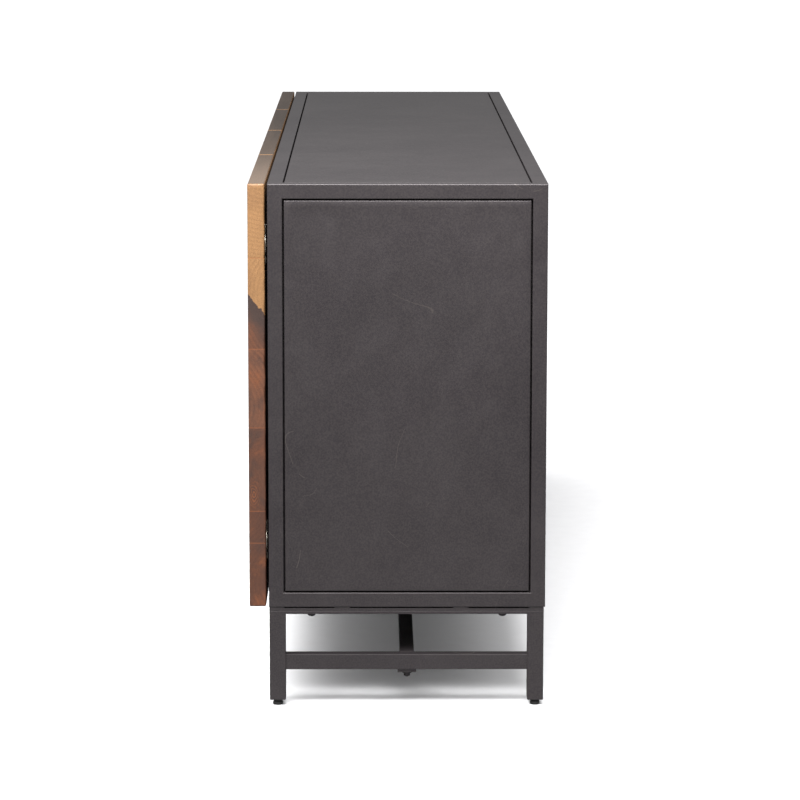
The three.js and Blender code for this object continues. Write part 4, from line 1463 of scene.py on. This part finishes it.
@dataclass
class Base:
    """Leg frames, stretcher, mount bars, bolts and levelling feet."""

    shop: Shop
    welds: WeldTree
    soften: float = 0.7 * MM

    def build(self) -> None:
        """Dresses the steel and makes the bolts, feet and welds."""
        self.shop.dress("long_stretcher", Slot.GUNMETAL, self.soften)
        for end in ENDS:
            self.shop.dress(f"leg_frame_{end}", Slot.GUNMETAL, self.soften)
            self.shop.dress(f"mount_bar_{end}", Slot.GUNMETAL, 0.4 * MM)
            self.tab_bolt(end)
            for place in ("front", "rear"):
                self.base_bolt(end, place)
                self.foot(end, place)
        self.leg_welds()

    def base_bolt(self, end: str, place: str) -> None:
        """A domed bolt with a washer and a hexagon socket."""
        node = f"base_bolt_{end}_{place}"
        low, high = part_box(node)
        x, y = (low.x + high.x) / 2, (low.y + high.y) / 2
        seat = low.z + 5 * MM
        head, shank, washer, socket = 6.6 * MM, 4 * MM, 8.4 * MM, 2.3 * MM
        shape = bmesh.new()
        outline = rounded_outline([
            (0, low.z + 1.8 * MM), (socket, low.z + 1.8 * MM), (socket, low.z), (4.2 * MM, low.z + 0.2 * MM),
            (head, low.z + 2.4 * MM), (head, seat - 1.3 * MM), (washer, seat - 1.3 * MM), (washer, seat),
            (shank, seat), (shank, high.z), (0, high.z),
        ], 0.5 * MM)
        add_turned(shape, outline, (x, y, 0), Axis.Z, 36)
        self.shop.fit(object_from(node + "_head", shape), "case", Slot.BOLTS, [node])

    def tab_bolt(self, end: str) -> None:
        """A hexagon bolt with a flange and a domed nut look, up through the stretcher's tab."""
        node = f"stretcher_bolt_{end}"
        low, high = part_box(node)
        x, y = (low.x + high.x) / 2, (low.y + high.y) / 2
        seat = low.z + 7.6 * MM
        shape = bmesh.new()
        rim, shank = 7.4 * MM, 4 * MM
        flange = rounded_outline([
            (0, seat - 2.0 * MM), (rim, seat - 1.6 * MM), (rim, seat), (shank, seat), (shank, high.z),
            (0, high.z),
        ], 0.4 * MM)
        add_turned(shape, flange, (x, y, 0), Axis.Z, 36)
        nut = [(0, seat - 6.4 * MM), (4.6 * MM, seat - 6.4 * MM), (5.6 * MM, seat - 5.6 * MM),
               (5.6 * MM, seat - 1.9 * MM), (0, seat - 1.9 * MM)]
        add_turned(shape, nut, (x, y, 0), Axis.Z, 6)
        stub = rounded_outline([
            (0, low.z), (2.6 * MM, low.z), (3.2 * MM, seat - 6.3 * MM), (0, seat - 6.3 * MM),
        ], 0.5 * MM)
        add_turned(shape, stub, (x, y, 0), Axis.Z, 24)
        self.shop.fit(object_from(node + "_nut", shape, 30), "case", Slot.BOLTS, [node])

    def foot(self, end: str, place: str) -> None:
        """A nylon glide with a hexagon above it and a threaded stem."""
        node = f"foot_{end}_{place}"
        low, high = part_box(node)
        x, y = (low.x + high.x) / 2, (low.y + high.y) / 2
        base = (high.x - low.x) / 2
        shape = bmesh.new()
        pad = rounded_outline([
            (0, 0), (base - 0.9 * MM, 0), (base, 1.1 * MM), (base, 5.0 * MM), (base - 1.6 * MM, 6.4 * MM),
            (0, 6.4 * MM),
        ], 0.6 * MM)
        add_turned(shape, pad, (x, y, 0), Axis.Z, 40)
        add_turned(shape, [(0, 6.38 * MM), (6 * MM, 6.38 * MM), (6 * MM, 8.6 * MM), (0, 8.6 * MM)], (x, y, 0),
                   Axis.Z, 6)
        thread = [(0.0, 8.58 * MM)]
        turns = 18
        pitch = (high.z - 8.6 * MM) / turns
        for k in range(turns):
            bottom = 8.6 * MM + pitch * k
            thread += [(3.55 * MM, bottom), (3.95 * MM, bottom + pitch * 0.5)]
        thread += [(3.5 * MM, high.z), (0.0, high.z)]
        add_turned(shape, thread, (x, y, 0), Axis.Z, 24)
        self.shop.fit(object_from(node + "_glide", shape, 30), f"{node}_glide", Slot.PLASTIC, [node])

    def leg_welds(self) -> None:
        """Fillet beads on the inner side of each leg frame's joints."""
        for end, side in zip(ENDS, (-1.0, 1.0)):
            low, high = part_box(f"leg_frame_{end}")
            bar_low, bar_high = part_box("long_stretcher")
            leg = 25 * MM
            inner = low.x if side > 0 else high.x
            stretcher_x = inner + side * 2.6 * MM
            z0, z1 = bar_high.z - 24 * MM + 1 * MM, bar_high.z - 1 * MM
            top = high.z - 5.4 * MM
            near_x, far_x = inner + side * 3 * MM, inner + side * 16 * MM
            runs = []
            for y, way in ((low.y + leg, 1.0), (high.y - leg, -1.0)):
                side_y, top_y = y + way * 0.4 * MM, y + way * 0.3 * MM
                runs.append(((stretcher_x, side_y, z0), (stretcher_x, side_y, z1)))
                runs.append(((near_x, top_y, top), (far_x, top_y, top)))
            self.shop.fit(self.welds.lay(f"leg_welds_{end}", runs, 1.3 * MM), "case", Slot.GUNMETAL)


# ---- Studio ----------------------------------------------------------------------------------


@dataclass(frozen=True)
class Studio:
    """A white floor, a soft top light and the camera, level with the piece's end and a little above."""

    camera_at: Point = (6.1615, -0.0385, 1.3065)
    pitch: float = 0.159
    yaw: float = 0.0082
    roll: float = 0.0012
    focal: float = 3403.6
    frame_width: float = 800.0
    sensor: float = 36.0
    sky: float = 0.78
    sun: float = 1.95
    sun_spread: float = 110.0
    key_power: float = 66.0
    key_at: Point = (1.9, -0.4, 2.1)
    key_aim: Point = (0.85, 0.0, 0.86)
    key_size: tuple[float, float] = (2.4, 1.4)
    key_spread: float = 90.0
    behind: float = 0.12
    front_lift: float = 1.5
    seen_white: float = 1.2

    def build(self) -> None:
        """Makes the camera, lights, world and floor."""
        bpy.context.scene.view_settings.view_transform = "Standard"
        self.camera()
        self.world()
        self.lights()
        self.floor()

    def camera(self) -> None:
        """The camera, aimed along -X and a little down."""
        level = math.cos(self.pitch)
        forward = Vector((-level * math.cos(self.yaw), level * math.sin(self.yaw), -math.sin(self.pitch)))
        side = forward.cross(Vector((0, 0, 1))).normalized()
        up = side.cross(forward)
        right = side * math.cos(self.roll) + up * math.sin(self.roll)
        above = up * math.cos(self.roll) - side * math.sin(self.roll)
        turn = Matrix((right, above, -forward)).transposed()
        lens = bpy.data.cameras.new("camera")
        lens.sensor_width = self.sensor
        lens.lens = self.focal * self.sensor / self.frame_width
        lens.clip_end = 200.0
        holder = bpy.data.objects.new("camera", lens)
        holder.matrix_world = Matrix.Translation(self.camera_at) @ turn.to_4x4()
        bpy.context.scene.collection.objects.link(holder)
        bpy.context.scene.camera = holder

    def world(self) -> None:
        """A pale surround, darker near the horizon, and white where the camera looks past the floor."""
        world = bpy.data.worlds.new("studio")
        world.use_nodes = True
        bpy.context.scene.world = world
        graph = Graph(world.node_tree)
        ground = next(node for node in world.node_tree.nodes if node.type == "BACKGROUND")
        direction = graph.add("ShaderNodeTexCoord").outputs["Generated"]
        along, across, up = graph.split(direction)
        rise = graph.stretch(up, -0.05, 0.7, 0.62, 1.0)
        low = graph.stretch(up, 0.05, 0.5, 1.0, 0.0)
        away = graph.math("MULTIPLY", low, graph.stretch(along, -0.9, 0.1, 1.0 - self.behind, 0.0))
        rise = graph.math("MULTIPLY", rise, graph.math("SUBTRACT", 1.0, away))
        facing = graph.stretch(across, -0.9, 0.0, self.front_lift, 1.0)
        rise = graph.math("MULTIPLY", rise, facing)
        seen = graph.add("ShaderNodeLightPath").outputs["Is Camera Ray"]
        graph.feed(ground.inputs["Color"], graph.mix(seen, rise, (1.0, 1.0, 1.0)))
        strength = graph.add("ShaderNodeMix")
        graph.feed(strength.inputs[0], seen)
        strength.inputs[2].default_value = self.sky
        strength.inputs[3].default_value = self.seen_white
        graph.feed(ground.inputs["Strength"], strength.outputs[0])

    def lights(self) -> None:
        """One wide soft light from above, towards the camera's side, and a softbox above the near end."""
        light = bpy.data.lights.new("top_light", "SUN")
        light.energy = self.sun
        light.angle = math.radians(self.sun_spread)
        lamp = bpy.data.objects.new("top_light", light)
        lamp.rotation_euler = (math.radians(2), math.radians(10), 0)
        bpy.context.scene.collection.objects.link(lamp)
        key = bpy.data.lights.new("softbox", "AREA")
        key.shape = "RECTANGLE"
        key.size, key.size_y = self.key_size
        key.energy = self.key_power
        key.spread = math.radians(self.key_spread)
        box = bpy.data.objects.new("softbox", key)
        box.location = self.key_at
        aim = Vector(self.key_aim) - Vector(self.key_at)
        box.rotation_euler = aim.to_track_quat("-Z", "Y").to_euler()
        bpy.context.scene.collection.objects.link(box)

    def floor(self) -> None:
        """A white floor out past the horizon's edge of the view."""
        shape = bmesh.new()
        bmesh.ops.create_grid(shape, x_segments=1, y_segments=1, size=60.0)
        made = object_from("floor", shape)
        material, graph, shader, place = new_material("white_floor")
        grain = graph.noise(place, 30.0, 2.0)
        paint = graph.mix(grain, (0.76, 0.76, 0.77), (0.81, 0.81, 0.82))
        seen = graph.add("ShaderNodeLightPath").outputs["Is Camera Ray"]
        graph.feed(shader.inputs["Base Color"], graph.mix(seen, (0.3, 0.3, 0.3), paint))
        shader.inputs["Roughness"].default_value = 0.9
        shader.inputs["Specular IOR Level"].default_value = 0.1
        made.data.materials.append(material)


# ---- The whole piece ------------------------------------------------------------------------------


BOARDS = (
    Board(0.258, (0.0, -0.150, 0.190), 0.32),
    Board(0.308, (0.0, -0.262, 0.330), 0.30),
    Board(0.438, (0.0, -0.190, 0.362), 0.42),
    Board(0.560, (0.0, -0.290, 0.470), 0.78),
    Board(0.700, (0.0, -0.120, 0.640), 0.60),
    Board(0.900, (0.0, -0.175, 0.900), 0.50),
)


def main() -> None:
    """Loads the frame, builds each sub-assembly in order and logs how many fine pieces it made."""
    logging.basicConfig(level=logging.INFO, format="%(name)s: %(message)s")
    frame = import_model()
    Studio().build()
    finishes = Finishes.build()
    shop = Shop(frame, finishes)
    screws = ScrewTree(finishes[Slot.HARDWARE])
    welds = WeldTree(finishes[Slot.GUNMETAL])
    CaseShell(shop, screws, welds).build()
    Interior(shop, screws).build()
    Base(shop, welds).build()
    for number in DOOR_NUMBERS:
        Door(number, shop, BOARDS).build()
        for level in LEVELS:
            ConcealedHinge(number, level, shop, screws).build()
    for end, pair in zip(ENDS, ((1, 2), (3, 4))):
        PushLatch(end, pair, shop, screws).build()
    LOG.info("%d fine pieces", shop.count)


if __name__ == "__main__":
    main()
